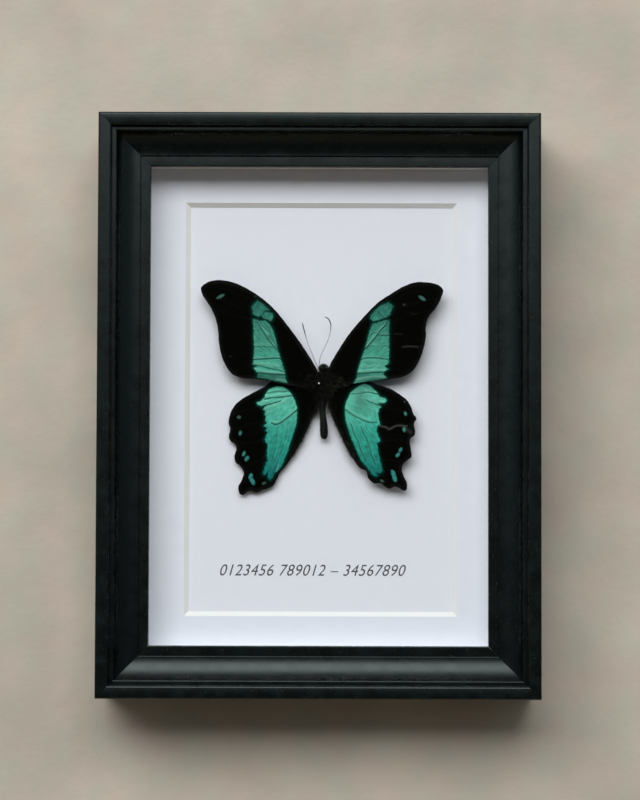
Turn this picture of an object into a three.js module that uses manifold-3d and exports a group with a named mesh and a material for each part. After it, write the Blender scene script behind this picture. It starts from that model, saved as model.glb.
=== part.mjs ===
// A butterfly pinned in a small wall frame: black moulding, glass, spacers, bevelled mat,
// mount board, back panel with its fixings and hanger, and the spread specimen on its pin.
//
// Millimetres. +X is to the viewer's right, +Y goes into the wall and +Z is up. The origin is
// the point where the frame hangs: the middle notch of the hanger, on the plane of the wall.
// Heights given as "off the wall" run from that plane towards the viewer, along -Y.
import * as THREE from 'three';
import { mergeVertices } from 'three/addons/utils/BufferGeometryUtils.js';
import Module from 'manifold-3d';

// ---- Driving dimensions ------------------------------------------------------------------

// Frame
const FRAME_WIDTH = 156;
const FRAME_HEIGHT = 206;
const FRAME_DEPTH = 36;
const HANG_DROP = 26; // from the frame's top edge down to the hanging point
const RAIL_WIDTH = 18;
const REBATE_WIDTH = 5; // step behind the sight edge that holds glass and boards
const REBATE_FLOOR = 23.6; // the step's face, off the wall
const MITRE_GAP = 0.1;

// Moulding section, from the outer edge inwards
const OUTER_LIP_WIDTH = 5.1;
const OUTER_EDGE_RADIUS = 1.2;
const OUTER_LIP_INNER_RADIUS = 0.9;
const UPPER_BEAD_RADIUS = 0.85;
const UPPER_BEAD_HEIGHT = 34.1;
const COVE_WIDTH = 5.6;
const COVE_DEPTH = 6.7;
const COVE_FLOOR = 27.4;
const GROOVE_RADIUS = 0.45;
const LOWER_BEAD_RADIUS = 0.55;
const SIGHT_LIP_HEIGHT = 27.1;
const SIGHT_EDGE_RADIUS = 0.8;
const QUIRK = 0.1; // the sharp step beside each bead

// What lies in the rebate, front to back
const REBATE_PLAY = 0.3; // clearance all round a pane or board
const STACK_GAP = 0.1; // between one layer and the next
const GLASS_THICKNESS = 2;
const SPACER_DEPTH = 7;
const SPACER_WIDTH = 4;
const MAT_THICKNESS = 1.6;
const MOUNT_BOARD_THICKNESS = 5.5;
const BACK_PANEL_THICKNESS = 2.5;

// Mat window, measured on the mat's front face; the bevel slopes in at 45 degrees
const WINDOW_WIDTH = 97.8;
const WINDOW_HEIGHT = 148.5;
const WINDOW_SHIFT_X = 0.75;
const WINDOW_SHIFT_Z = -0.8;

// Back fixings
const TAB_WIDTH = 8;
const TAB_THICKNESS = 0.4;
const TAB_REACH = 7.5; // over the panel, from the rebate wall
const TAB_BITE = 5; // driven into the rail
const SIDE_TAB_OFFSET = 52; // above and below the middle of each long rail

// Hanger
const HANGER_LENGTH = 42;
const HANGER_FOOT = 7;
const HANGER_RAMP = 2.2;
const HANGER_RISE = 1.7;
const HANGER_THICKNESS = 0.8;
const HANGER_ABOVE_NOTCH = 6;
const HANGER_BELOW_NOTCH = 1.1;
const TOOTH_PITCH = 2;
const TOOTH_COUNT = 11;
const NOTCH_SHARE = 0.84; // of the pitch, at the strip's edge
const RIVET_SHANK_RADIUS = 1;
const RIVET_HEAD_RADIUS = 2;
const RIVET_HEAD_HEIGHT = 0.9;
const RIVET_PLAY = 0.12;

// Specimen. Its own plan measures run from the pin: x to the right, z up, heights off the wall.
const PIN_X = 0;
const PIN_Z = -68.9;
const PIN_RADIUS = 0.25;
const PIN_PLAY = 0.1;
const PIN_HEAD_RADIUS = 0.75;
const PIN_HEAD_HEIGHT = 20.6;
const BODY_X = 1.7; // middle of the thorax; the pin goes in a little to the left
const BODY_HEIGHT = 16;
const THORAX = { z: -0.4, halfWidth: 3.4, halfDepth: 2.8, halfLength: 5 };
const HEAD = { x: 1.6, z: 5.4, height: 16.2, radius: 1.5 };
const EYE = { out: 1.15, forward: 0.3, halfWidth: 0.8, halfDepth: 1.05, halfLength: 0.95 };
const PALP = { out: 0.4, forward: 1.1, drop: 0.6, halfWidth: 0.34, halfDepth: 0.7, halfLength: 0.6 };
const FOREWING_HEIGHT = 17.1;
const HINDWING_HEIGHT = 16.1;
const WING_THICKNESS = 0.35;
const WING_LIFT = 1.3; // of the wing tips above the roots
const WING_ROOT_GAP = 0.2;
const OUTLINE_STEPS = 72;
const WING_RINGS = 4;

// The abdomen from its root at the thorax to its tip: [x, z, height, radius].
const ABDOMEN = [
  [1.7, -3.6, 16.2, 2.0], [1.5, -5.2, 16.2, 1.85], [1.35, -6.6, 16.1, 1.45],
  [1.25, -8.4, 16.0, 1.2], [1.3, -10.4, 15.9, 1.15], [1.5, -12.4, 15.8, 1.2],
  [1.7, -14.4, 15.7, 1.35], [1.8, -16.4, 15.6, 1.4], [1.85, -18.2, 15.5, 1.3],
  [1.85, -19.3, 15.4, 0.95], [1.85, -19.8, 15.4, 0.4],
];

// Wing outlines, from the root along the leading edge and back: [x, z] from the pin.
const FOREWING_LEFT = [
  [-0.6, 4.6], [-6.2, 13.8], [-10.8, 20.1], [-16.8, 27.3], [-22.8, 32.1], [-30.3, 36.0],
  [-36.6, 37.0], [-40.6, 35.9], [-42.4, 34.1], [-41.7, 31.4], [-38.9, 27.2], [-37.1, 23.0],
  [-36.2, 19.1], [-35.9, 14.7], [-35.0, 10.1], [-33.4, 6.3], [-31.1, 3.3], [-27.4, 1.8],
  [-22.7, 1.5], [-18.2, 0.9], [-14.3, 0.0], [-8.0, -1.0], [-1.6, -1.8], [0.2, 1.2],
];
const FOREWING_RIGHT = [
  [3.3, 5.3], [6.2, 10.9], [10.7, 17.8], [15.2, 23.2], [21.1, 29.2], [25.6, 32.2],
  [30.1, 34.9], [34.4, 36.4], [38.5, 36.4], [42.3, 35.6], [44.3, 33.8], [43.6, 30.8],
  [41.5, 26.9], [39.1, 23.9], [38.1, 20.0], [38.2, 17.3], [37.3, 12.5], [35.5, 7.7],
  [33.2, 4.4], [30.2, 2.6], [26.3, 1.8], [22.4, 1.2], [12.5, 0.1], [5.0, -1.6], [3.2, 1.2],
];
const HINDWING_LEFT = [
  [-0.8, 2.2], [-7.0, 2.6], [-13.0, 2.4], [-17.4, 0.6], [-19.6, -1.0], [-24.1, -3.4],
  [-27.7, -5.5], [-30.1, -7.6], [-31.8, -10.6], [-32.4, -14.3], [-31.8, -16.0], [-32.3, -19.0],
  [-31.5, -20.8], [-30.0, -21.7], [-29.6, -23.5], [-30.3, -26.2], [-29.7, -28.3],
  [-28.2, -29.5], [-26.9, -31.9], [-27.6, -34.5], [-28.8, -36.9], [-28.4, -39.3],
  [-27.2, -39.9], [-25.8, -39.0], [-24.6, -38.4], [-22.5, -39.0], [-20.7, -38.4],
  [-18.3, -37.5], [-16.5, -36.6], [-15.0, -34.2], [-14.1, -32.1], [-11.8, -29.4],
  [-8.8, -24.9], [-6.4, -20.7], [-4.0, -15.9], [-2.3, -11.7], [-0.4, -9.2], [-0.2, -4.0],
];
const HINDWING_RIGHT = [
  [4.4, 2.2], [10.0, 2.8], [15.0, 2.4], [18.8, 0.6], [25.7, -1.8], [28.7, -3.6], [31.4, -5.7],
  [32.9, -8.1], [33.8, -10.7], [34.9, -12.5], [34.0, -14.1], [34.4, -17.0], [34.1, -18.5],
  [32.6, -19.7], [32.8, -22.7], [33.1, -26.0], [31.8, -27.2], [30.2, -28.7], [29.7, -30.8],
  [30.5, -33.2], [31.6, -35.9], [31.2, -38.0], [30.0, -38.1], [28.5, -37.1], [27.0, -36.8],
  [25.2, -37.5], [23.7, -36.8], [22.2, -35.6], [19.8, -35.6], [17.7, -33.8], [16.8, -31.1],
  [14.7, -30.2], [12.9, -27.9], [10.8, -24.6], [8.7, -20.4], [6.3, -15.3], [4.2, -10.5],
  [3.6, -8.6], [3.5, -4.0],
];

// Antennae: [x, z, height off the wall], from the head to the tip; the last third is a club.
const ANTENNA_LEFT = [
  [0.1, 5.5, 17.6], [-1.0, 6.9, 17.9], [-2.9, 11.6, 18.5], [-4.0, 14.1, 18.7],
  [-5.1, 17.9, 18.7], [-6.1, 21.8, 18.3],
];
const ANTENNA_RIGHT = [
  [1.1, 6.3, 17.8], [0.2, 7.2, 18.1], [0.6, 9.9, 18.6], [1.6, 12.1, 18.8], [2.8, 14.7, 18.9],
  [3.6, 16.9, 18.9], [4.1, 19.6, 18.8], [4.1, 21.3, 18.6], [3.2, 23.2, 18.5], [1.8, 24.0, 18.3],
];
const ANTENNA_RADIUS = 0.18;
const CLUB_RADIUS = 0.42;

// Legs, one list for the right side: [x from the body's middle, z from the pin, height].
const LEGS_RIGHT = [
  [[0.9, 2.6, 14.2], [2.4, 4.2, 13.7], [1.8, 1.4, 13.3], [1.3, -0.6, 13.1]],
  [[0.9, 0.2, 14.0], [2.8, -1.2, 13.6], [2.1, -4.4, 13.3], [1.8, -6.4, 13.1]],
  [[0.8, -2.4, 14.2], [2.4, -5.0, 13.7], [1.6, -8.6, 13.4], [1.4, -10.8, 13.2]],
];
const LEG_RADIUS = 0.24;

// ---- Values that follow from them --------------------------------------------------------

const FRAME_TOP = HANG_DROP;
const FRAME_MIDDLE_Z = FRAME_TOP - FRAME_HEIGHT / 2;
const REBATE_X = FRAME_WIDTH / 2 - RAIL_WIDTH + REBATE_WIDTH; // rebate wall, from the middle
const REBATE_Z = FRAME_HEIGHT / 2 - RAIL_WIDTH + REBATE_WIDTH;
const PANE_WIDTH = 2 * (REBATE_X - REBATE_PLAY);
const PANE_HEIGHT = 2 * (REBATE_Z - REBATE_PLAY);

// The layers in the rebate: where each one's front and back face lie, off the wall.
function layersBehind(top, thicknesses) {
  const layers = {};
  let front = top;
  for (const [name, thickness] of Object.entries(thicknesses)) {
    front -= STACK_GAP;
    layers[name] = { front, back: front - thickness };
    front -= thickness;
  }
  return layers;
}
const LAYERS = layersBehind(REBATE_FLOOR, {
  glass: GLASS_THICKNESS,
  spacer: SPACER_DEPTH,
  mat: MAT_THICKNESS,
  mountBoard: MOUNT_BOARD_THICKNESS,
  backPanel: BACK_PANEL_THICKNESS,
  tab: TAB_THICKNESS,
});

// ---- Materials ---------------------------------------------------------------------------

const paint = { color: 0x0b0d0d, roughness: 0.38, metalness: 0 };
const clearGlass = { color: 0xf2f8f6, roughness: 0.03, metalness: 0, transparent: true, opacity: 0.2 };
const whiteFoam = { color: 0xe6e6e2, roughness: 0.8, metalness: 0 };
const matBoard = { color: 0xdfe2e6, roughness: 0.9, metalness: 0 };
const cardBoard = { color: 0xdadee2, roughness: 0.9, metalness: 0 };
const fibreboard = { color: 0x7a5a3c, roughness: 0.85, metalness: 0 };
const blackSteel = { color: 0x24262a, roughness: 0.4, metalness: 0.9 };
const zincSteel = { color: 0xb4b6b8, roughness: 0.35, metalness: 1 };
const darkFur = { color: 0x120e0b, roughness: 0.9, metalness: 0 };
const wingScales = { color: 0x1c2a24, roughness: 0.7, metalness: 0 };

const part = new THREE.Group();

function addPiece(name, geometry, look) {
  const mesh = new THREE.Mesh(geometry, new THREE.MeshStandardMaterial(look));
  mesh.name = name;
  part.add(mesh);
}

// ---- Solids ------------------------------------------------------------------------------

const wasm = await Module();
wasm.setup();

function toSolid(geometry) {
  const bare = geometry.clone();
  bare.deleteAttribute('normal');
  bare.deleteAttribute('uv');
  const merged = mergeVertices(bare, 1e-4);
  return new wasm.Manifold(new wasm.Mesh({
    numProp: 3,
    vertProperties: new Float32Array(merged.attributes.position.array),
    triVerts: new Uint32Array(merged.index.array),
  }));
}

function toGeometry(solid) {
  const mesh = solid.getMesh();
  const geometry = new THREE.BufferGeometry();
  geometry.setAttribute('position', new THREE.BufferAttribute(mesh.vertProperties.slice(), 3));
  geometry.setIndex(new THREE.BufferAttribute(mesh.triVerts.slice(), 1));
  geometry.computeVertexNormals();
  return geometry;
}

function cut(geometry, cutters) {
  return toGeometry(cutters.reduce(
    (solid, cutter) => solid.subtract(toSolid(cutter)),
    toSolid(geometry),
  ));
}

function fuse(geometries) {
  const [first, ...rest] = geometries.map(toSolid);
  return toGeometry(rest.reduce((solid, other) => solid.add(other), first));
}

// A point from plan measures: x, z and a height off the wall.
function place(x, z, height) {
  return new THREE.Vector3(x, -height, z);
}

// A closed skin over a list of equal rings of points, with a flat end at each side. The ends
// are filled from the plan points that the rings were drawn from.
function loft(rings, plan) {
  const count = rings[0].length;
  const faces = [];
  for (let ring = 0; ring + 1 < rings.length; ring += 1) {
    for (let i = 0; i < count; i += 1) {
      const here = ring * count + i;
      const next = ring * count + ((i + 1) % count);
      faces.push([here, next, next + count], [here, next + count, here + count]);
    }
  }
  const last = (rings.length - 1) * count;
  const anticlockwise = THREE.ShapeUtils.area(plan) > 0;
  for (const triangle of THREE.ShapeUtils.triangulateShape([...plan], [])) {
    const [a, b, c] = anticlockwise ? triangle : triangle.toReversed();
    faces.push([a, c, b], [last + a, last + b, last + c]);
  }
  return closedGeometry(rings.flat(), faces);
}

// A geometry from points and faces, turned outwards if its faces point in.
function closedGeometry(points, faces) {
  let volume = 0;
  for (const [a, b, c] of faces) {
    volume += points[a].dot(points[b].clone().cross(points[c]));
  }
  const outward = volume > 0 ? faces : faces.map(([a, b, c]) => [a, c, b]);
  const geometry = new THREE.BufferGeometry().setFromPoints(points);
  geometry.setIndex(outward.flat());
  geometry.computeVertexNormals();
  return geometry;
}

function circlePlan(sides) {
  return Array.from({ length: sides }, (_, i) => {
    const angle = (2 * Math.PI * i) / sides;
    return new THREE.Vector2(Math.cos(angle), Math.sin(angle));
  });
}

// A round tube through a list of points, with its own radius at each step.
function tube(points, radiusAt, steps, sides) {
  const path = new THREE.CatmullRomCurve3(points, false, 'centripetal');
  const frames = path.computeFrenetFrames(steps, false);
  const plan = circlePlan(sides);
  const rings = [];
  for (let step = 0; step <= steps; step += 1) {
    const centre = path.getPointAt(step / steps);
    const radius = radiusAt(step / steps);
    rings.push(plan.map((point) => centre.clone()
      .addScaledVector(frames.normals[step], radius * point.x)
      .addScaledVector(frames.binormals[step], radius * point.y)));
  }
  return loft(rings, plan);
}

function ellipsoid(centre, radii, across, along) {
  const geometry = new THREE.SphereGeometry(1, across, along);
  geometry.scale(radii.x, radii.y, radii.z);
  geometry.translate(centre.x, centre.y, centre.z);
  return geometry;
}

// A box from its middle in plan, its size in plan, and its two faces off the wall.
function slab(middleX, middleZ, width, height, front, back) {
  const geometry = new THREE.BoxGeometry(width, front - back, height);
  geometry.translate(middleX, -(front + back) / 2, middleZ);
  return geometry;
}

// A cylinder whose axis stands off the wall.
function post(x, z, radius, front, back, sides) {
  const geometry = new THREE.CylinderGeometry(radius, radius, front - back, sides);
  geometry.translate(x, -(front + back) / 2, z);
  return geometry;
}

// ---- Frame rails -------------------------------------------------------------------------

function arc(centreX, centreY, radius, startDegrees, endDegrees, steps) {
  return Array.from({ length: steps + 1 }, (_, i) => {
    const degrees = startDegrees + ((endDegrees - startDegrees) * i) / steps;
    const angle = THREE.MathUtils.degToRad(degrees);
    return new THREE.Vector2(
      centreX + radius * Math.cos(angle),
      centreY + radius * Math.sin(angle),
    );
  });
}

// The moulding's section: x runs from the outer edge inwards, y is the height off the wall.
function mouldingSection() {
  const beadX = OUTER_LIP_WIDTH + QUIRK + UPPER_BEAD_RADIUS;
  const coveX = beadX + UPPER_BEAD_RADIUS;
  const grooveX = coveX + COVE_WIDTH;
  const lowerBeadX = grooveX + 2 * GROOVE_RADIUS;
  const lipX = lowerBeadX + 2 * LOWER_BEAD_RADIUS;
  return [
    new THREE.Vector2(0, 0),
    ...arc(OUTER_EDGE_RADIUS, FRAME_DEPTH - OUTER_EDGE_RADIUS, OUTER_EDGE_RADIUS, 180, 90, 4),
    ...arc(OUTER_LIP_WIDTH - OUTER_LIP_INNER_RADIUS, FRAME_DEPTH - OUTER_LIP_INNER_RADIUS,
      OUTER_LIP_INNER_RADIUS, 90, 0, 4),
    new THREE.Vector2(OUTER_LIP_WIDTH, UPPER_BEAD_HEIGHT),
    ...arc(beadX, UPPER_BEAD_HEIGHT, UPPER_BEAD_RADIUS, 180, 0, 6),
    ...arc(0, 0, 1, 182, 270, 8).map((point) => new THREE.Vector2(
      grooveX + COVE_WIDTH * point.x,
      COVE_FLOOR + COVE_DEPTH * (1 + point.y),
    )),
    ...arc(grooveX + GROOVE_RADIUS, COVE_FLOOR, GROOVE_RADIUS, 190, 350, 4),
    ...arc(lowerBeadX + LOWER_BEAD_RADIUS, COVE_FLOOR, LOWER_BEAD_RADIUS, 180, 0, 5),
    new THREE.Vector2(lipX + QUIRK, SIGHT_LIP_HEIGHT),
    ...arc(RAIL_WIDTH - SIGHT_EDGE_RADIUS, SIGHT_LIP_HEIGHT - SIGHT_EDGE_RADIUS,
      SIGHT_EDGE_RADIUS, 90, 0, 4),
    new THREE.Vector2(RAIL_WIDTH, REBATE_FLOOR),
    new THREE.Vector2(RAIL_WIDTH - REBATE_WIDTH, REBATE_FLOOR),
    new THREE.Vector2(RAIL_WIDTH - REBATE_WIDTH, 0),
  ];
}

// Each side of the frame: the way out from its middle, and half the opening's extent that way.
const SIDES = {
  top: { outX: 0, outZ: 1 },
  bottom: { outX: 0, outZ: -1 },
  left: { outX: -1, outZ: 0 },
  right: { outX: 1, outZ: 0 },
};

// A point in plan, from how far out it lies towards a side and how far along that side.
function towards({ outX, outZ }, out, along) {
  return {
    x: outX * out + Math.abs(outZ) * along,
    z: FRAME_MIDDLE_Z + outZ * out + Math.abs(outX) * along,
  };
}

function halfExtent(side, halfWidth, halfHeight) {
  return side.outX ? halfWidth : halfHeight;
}

// A rail with both ends mitred: the section is set out along the side, drawn in at each end.
function mitredRail(side) {
  const section = mouldingSection();
  const outer = halfExtent(side, FRAME_WIDTH / 2, FRAME_HEIGHT / 2);
  const halfLength = halfExtent(side, FRAME_HEIGHT / 2, FRAME_WIDTH / 2);
  const rings = [-1, 1].map((end) => section.map(({ x: inward, y: height }) => {
    const along = end * (halfLength - inward - MITRE_GAP / 2);
    const { x, z } = towards(side, outer - inward, along);
    return place(x, z, height);
  }));
  return loft(rings, section);
}

const TABS = [
  { name: 'top', side: SIDES.top, along: 0 },
  { name: 'bottom', side: SIDES.bottom, along: 0 },
  { name: 'left_upper', side: SIDES.left, along: SIDE_TAB_OFFSET },
  { name: 'left_lower', side: SIDES.left, along: -SIDE_TAB_OFFSET },
  { name: 'right_upper', side: SIDES.right, along: SIDE_TAB_OFFSET },
  { name: 'right_lower', side: SIDES.right, along: -SIDE_TAB_OFFSET },
];

// A flat bar that lies across the rebate wall of one side.
function tabBar({ side, along }, reach, bite, width, front, back) {
  const wall = halfExtent(side, REBATE_X, REBATE_Z);
  const { x, z } = towards(side, wall + (bite - reach) / 2, along);
  const length = reach + bite;
  return side.outX
    ? slab(x, z, length, width, front, back)
    : slab(x, z, width, length, front, back);
}

function tabSlot(tab) {
  const { front, back } = LAYERS.tab;
  return tabBar(tab, STACK_GAP, TAB_BITE + STACK_GAP, TAB_WIDTH + 2 * STACK_GAP,
    front + STACK_GAP, back - STACK_GAP);
}

for (const [name, side] of Object.entries(SIDES)) {
  const slots = TABS.filter((tab) => tab.side === side).map(tabSlot);
  addPiece(`rail_${name}`, cut(mitredRail(side), slots), paint);
}

// ---- Glass, spacers and boards -----------------------------------------------------------

function pane({ front, back }) {
  return slab(0, FRAME_MIDDLE_Z, PANE_WIDTH, PANE_HEIGHT, front, back);
}

addPiece('glass', pane(LAYERS.glass), clearGlass);

// The upper and lower spacers run the full width, and the side ones stand between them.
for (const [name, side] of Object.entries(SIDES)) {
  const out = halfExtent(side, PANE_WIDTH, PANE_HEIGHT) / 2 - SPACER_WIDTH / 2;
  const { x, z } = towards(side, out, 0);
  const length = side.outX ? PANE_HEIGHT - 2 * (SPACER_WIDTH + STACK_GAP) : PANE_WIDTH;
  const width = side.outX ? SPACER_WIDTH : length;
  const height = side.outX ? length : SPACER_WIDTH;
  const { front, back } = LAYERS.spacer;
  addPiece(`spacer_${name}`, slab(x, z, width, height, front, back), whiteFoam);
}

// The mat's window is cut by a four-sided wedge that widens towards the viewer.
function bevelCutter({ front, back }) {
  const overrun = 1;
  const corners = [[-1, -1], [1, -1], [1, 1], [-1, 1]];
  const rings = [front + overrun, back - overrun].map((height) => {
    const grow = height - front;
    return corners.map(([right, up]) => place(
      WINDOW_SHIFT_X + right * (WINDOW_WIDTH / 2 + grow),
      FRAME_MIDDLE_Z + WINDOW_SHIFT_Z + up * (WINDOW_HEIGHT / 2 + grow),
      height,
    ));
  });
  return loft(rings, corners.map(([x, y]) => new THREE.Vector2(x, y)));
}

addPiece('mat_board', cut(pane(LAYERS.mat), [bevelCutter(LAYERS.mat)]), matBoard);

const pinHole = (front, back) => post(PIN_X, PIN_Z, PIN_RADIUS + PIN_PLAY, front, back, 12);
addPiece(
  'mount_board',
  cut(pane(LAYERS.mountBoard), [pinHole(LAYERS.mountBoard.front + 1, LAYERS.mountBoard.back - 1)]),
  cardBoard,
);

// ---- Back panel, tabs and hanger ---------------------------------------------------------

const HANGER_BASE = LAYERS.backPanel.back - STACK_GAP; // front face of the hanger's feet
const RIVETS = {
  left: -(HANGER_LENGTH - HANGER_FOOT) / 2,
  right: (HANGER_LENGTH - HANGER_FOOT) / 2,
};
const RIVET_Z = (HANGER_ABOVE_NOTCH - HANGER_BELOW_NOTCH) / 2;

const rivetHoles = Object.values(RIVETS).map((x) => post(
  x, RIVET_Z, RIVET_SHANK_RADIUS + RIVET_PLAY, LAYERS.backPanel.front + 1, 0, 12,
));
addPiece('back_panel', cut(pane(LAYERS.backPanel), rivetHoles), fibreboard);

for (const tab of TABS) {
  const { front, back } = LAYERS.tab;
  const blade = tabBar(tab, TAB_REACH, TAB_BITE, TAB_WIDTH, front, back);
  addPiece(`back_tab_${tab.name}`, blade, blackSteel);
}

// The hanger is a strip bent up from its two riveted feet, with teeth along its lower edge.
function hangerStrip() {
  const half = HANGER_LENGTH / 2;
  const bend = half - HANGER_FOOT;
  const flat = bend - HANGER_RAMP;
  const upperSide = [[-half, 0], [-bend, 0], [-flat, HANGER_RISE], [flat, HANGER_RISE],
    [bend, 0], [half, 0]];
  const lowerSide = upperSide.map(([x, rise]) => [x, rise + HANGER_THICKNESS]).reverse();
  const plan = [...upperSide, ...lowerSide].map(([x, rise]) => new THREE.Vector2(x, rise));
  const rings = [HANGER_ABOVE_NOTCH, -HANGER_BELOW_NOTCH].map((z) => plan
    .map(({ x, y: rise }) => place(x, z, HANGER_BASE - rise)));
  return loft(rings, plan);
}

// A wedge that cuts the notch between two teeth, open below.
function toothNotch(index) {
  const middle = (index - (TOOTH_COUNT - 1) / 2) * TOOTH_PITCH;
  const half = TOOTH_PITCH * NOTCH_SHARE / 2;
  const overrun = 0.5;
  const floor = -HANGER_BELOW_NOTCH - overrun;
  const plan = [[-half - overrun, floor], [half + overrun, floor], [0, 0]]
    .map(([x, z]) => new THREE.Vector2(middle + x, z));
  const rings = [HANGER_BASE + 1, -1].map((height) => plan
    .map(({ x, y: z }) => place(x, z, height)));
  return loft(rings, plan);
}

const notches = Array.from({ length: TOOTH_COUNT }, (_, index) => toothNotch(index));
addPiece('sawtooth_hanger', cut(hangerStrip(), [...rivetHoles, ...notches]), zincSteel);

// A rivet: a shank through hanger and panel, and a low domed head behind the hanger.
function rivet(x) {
  const headBase = HANGER_BASE - HANGER_THICKNESS - STACK_GAP;
  const sunk = 0.3; // the shank reaches this far into the head
  const shank = post(
    x, RIVET_Z, RIVET_SHANK_RADIUS, LAYERS.backPanel.front, headBase - sunk, 12,
  );
  const profile = [
    new THREE.Vector2(0, 0),
    new THREE.Vector2(RIVET_HEAD_RADIUS, 0),
    ...arc(0, 0, 1, 20, 90, 4).map((point) => new THREE.Vector2(
      RIVET_HEAD_RADIUS * point.x,
      RIVET_HEAD_HEIGHT * point.y,
    )),
  ];
  profile[profile.length - 1].x = 0;
  const dome = new THREE.LatheGeometry(profile, 12);
  dome.translate(x, -headBase, RIVET_Z);
  return fuse([shank, dome]);
}

for (const [name, x] of Object.entries(RIVETS)) {
  addPiece(`hanger_rivet_${name}`, rivet(x), zincSteel);
}

// ---- Specimen: body ----------------------------------------------------------------------

const fromPin = (x, z, height) => place(PIN_X + x, PIN_Z + z, height);

// Swollen by a margin, the same forms cut the wings clear of the body.
function trunk(margin) {
  const { z: thoraxZ, halfWidth, halfDepth, halfLength } = THORAX;
  const thorax = ellipsoid(
    fromPin(BODY_X, thoraxZ, BODY_HEIGHT),
    new THREE.Vector3(halfWidth + margin, halfDepth + margin, halfLength + margin),
    20,
    12,
  );
  const plan = circlePlan(14);
  const abdomen = loft(ABDOMEN.map(([x, z, height, radius]) => plan.map((point) => fromPin(
    x + (radius + margin) * point.x,
    z,
    height + (radius + margin) * point.y,
  ))), plan);
  return [thorax, abdomen];
}

// An egg on each side of the head: an eye or a palp, set out from the head's middle.
function headPair({ out, forward, drop = 0, halfWidth, halfDepth, halfLength }) {
  const radii = new THREE.Vector3(halfWidth, halfDepth, halfLength);
  return [-1, 1].map((side) => {
    const centre = fromPin(HEAD.x + side * out, HEAD.z + forward, HEAD.height - drop);
    return ellipsoid(centre, radii, 10, 8);
  });
}

function head() {
  const radii = new THREE.Vector3().setScalar(HEAD.radius);
  const skull = ellipsoid(fromPin(HEAD.x, HEAD.z, HEAD.height), radii, 14, 8);
  return [skull, ...headPair(EYE), ...headPair(PALP)];
}

function leg(points, side) {
  const path = points.map(([x, z, height]) => fromPin(BODY_X + side * x, z, height));
  return tube(path, (t) => LEG_RADIUS * (1 - 0.55 * t), 7, 6);
}

const legs = [-1, 1].flatMap((side) => LEGS_RIGHT.map((points) => leg(points, side)));
const bodySolid = fuse([...trunk(0), ...head(), ...legs]);
addPiece('butterfly_body', cut(bodySolid, [pinHole(PIN_HEAD_HEIGHT, 0)]), darkFur);

// ---- Specimen: wings ---------------------------------------------------------------------

// How far a wing stands above its root: a slow rise to the tips with a slight droop beyond.
function wingRise(x, z) {
  const reach = Math.min(Math.hypot(x - BODY_X, z) / 46, 1);
  return WING_LIFT * Math.sin(reach * Math.PI * 0.55);
}

// A thin plate over a closed outline, raised along the wing's rise. Its grid is the outline
// drawn in towards the middle, ring by ring, on the upper and on the lower face.
function wing(outline, height) {
  const points = outline.map(([x, z]) => new THREE.Vector3(x, 0, z));
  const curve = new THREE.CatmullRomCurve3(points, true, 'centripetal');
  const edge = curve.getSpacedPoints(OUTLINE_STEPS).slice(0, OUTLINE_STEPS);
  const middle = edge.reduce((sum, point) => sum.add(point), new THREE.Vector3())
    .divideScalar(edge.length);
  const vertices = [];
  const faces = [];
  const onWing = (point, lift) => fromPin(
    point.x, point.z, height + lift + wingRise(point.x, point.z),
  );
  for (const lift of [WING_THICKNESS / 2, -WING_THICKNESS / 2]) {
    const start = vertices.length;
    for (let ring = WING_RINGS; ring >= 1; ring -= 1) {
      for (const point of edge) {
        vertices.push(onWing(middle.clone().lerp(point, ring / WING_RINGS), lift));
      }
    }
    const centre = vertices.push(onWing(middle, lift)) - 1;
    const turn = (a, b, c) => (lift > 0 ? [a, b, c] : [a, c, b]);
    for (let ring = 0; ring < WING_RINGS; ring += 1) {
      for (let i = 0; i < OUTLINE_STEPS; i += 1) {
        const here = start + ring * OUTLINE_STEPS + i;
        const next = start + ring * OUTLINE_STEPS + ((i + 1) % OUTLINE_STEPS);
        if (ring === WING_RINGS - 1) {
          faces.push(turn(here, next, centre));
        } else {
          faces.push(turn(here, next, next + OUTLINE_STEPS));
          faces.push(turn(here, next + OUTLINE_STEPS, here + OUTLINE_STEPS));
        }
      }
    }
  }
  const lower = WING_RINGS * OUTLINE_STEPS + 1;
  for (let i = 0; i < OUTLINE_STEPS; i += 1) {
    const next = (i + 1) % OUTLINE_STEPS;
    faces.push([next, i, lower + i], [next, lower + i, lower + next]);
  }
  return closedGeometry(vertices, faces);
}

const bodyClearance = trunk(WING_ROOT_GAP);
const WINGS = {
  forewing_left: [FOREWING_LEFT, FOREWING_HEIGHT],
  forewing_right: [FOREWING_RIGHT, FOREWING_HEIGHT],
  hindwing_left: [HINDWING_LEFT, HINDWING_HEIGHT],
  hindwing_right: [HINDWING_RIGHT, HINDWING_HEIGHT],
};
for (const [name, [outline, height]] of Object.entries(WINGS)) {
  addPiece(name, cut(wing(outline, height), bodyClearance), wingScales);
}

// ---- Specimen: antennae and pin ----------------------------------------------------------

function antennaRadius(t) {
  const club = THREE.MathUtils.smoothstep(t, 0.62, 0.85);
  const tip = 1 - 0.6 * THREE.MathUtils.smoothstep(t, 0.94, 1);
  return (ANTENNA_RADIUS + (CLUB_RADIUS - ANTENNA_RADIUS) * club) * tip;
}

for (const [name, route] of Object.entries({ left: ANTENNA_LEFT, right: ANTENNA_RIGHT })) {
  const path = route.map(([x, z, height]) => fromPin(x, z, height));
  addPiece(`antenna_${name}`, tube(path, antennaRadius, 15, 8), darkFur);
}

const shaft = post(PIN_X, PIN_Z, PIN_RADIUS, PIN_HEAD_HEIGHT, LAYERS.mountBoard.back + 0.2, 12);
const pinHead = ellipsoid(
  place(PIN_X, PIN_Z, PIN_HEAD_HEIGHT),
  new THREE.Vector3(PIN_HEAD_RADIUS, PIN_HEAD_RADIUS * 0.7, PIN_HEAD_RADIUS),
  14,
  8,
);
addPiece('specimen_pin', fuse([shaft, pinHead]), zincSteel);

export default part;
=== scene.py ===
import math

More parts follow.
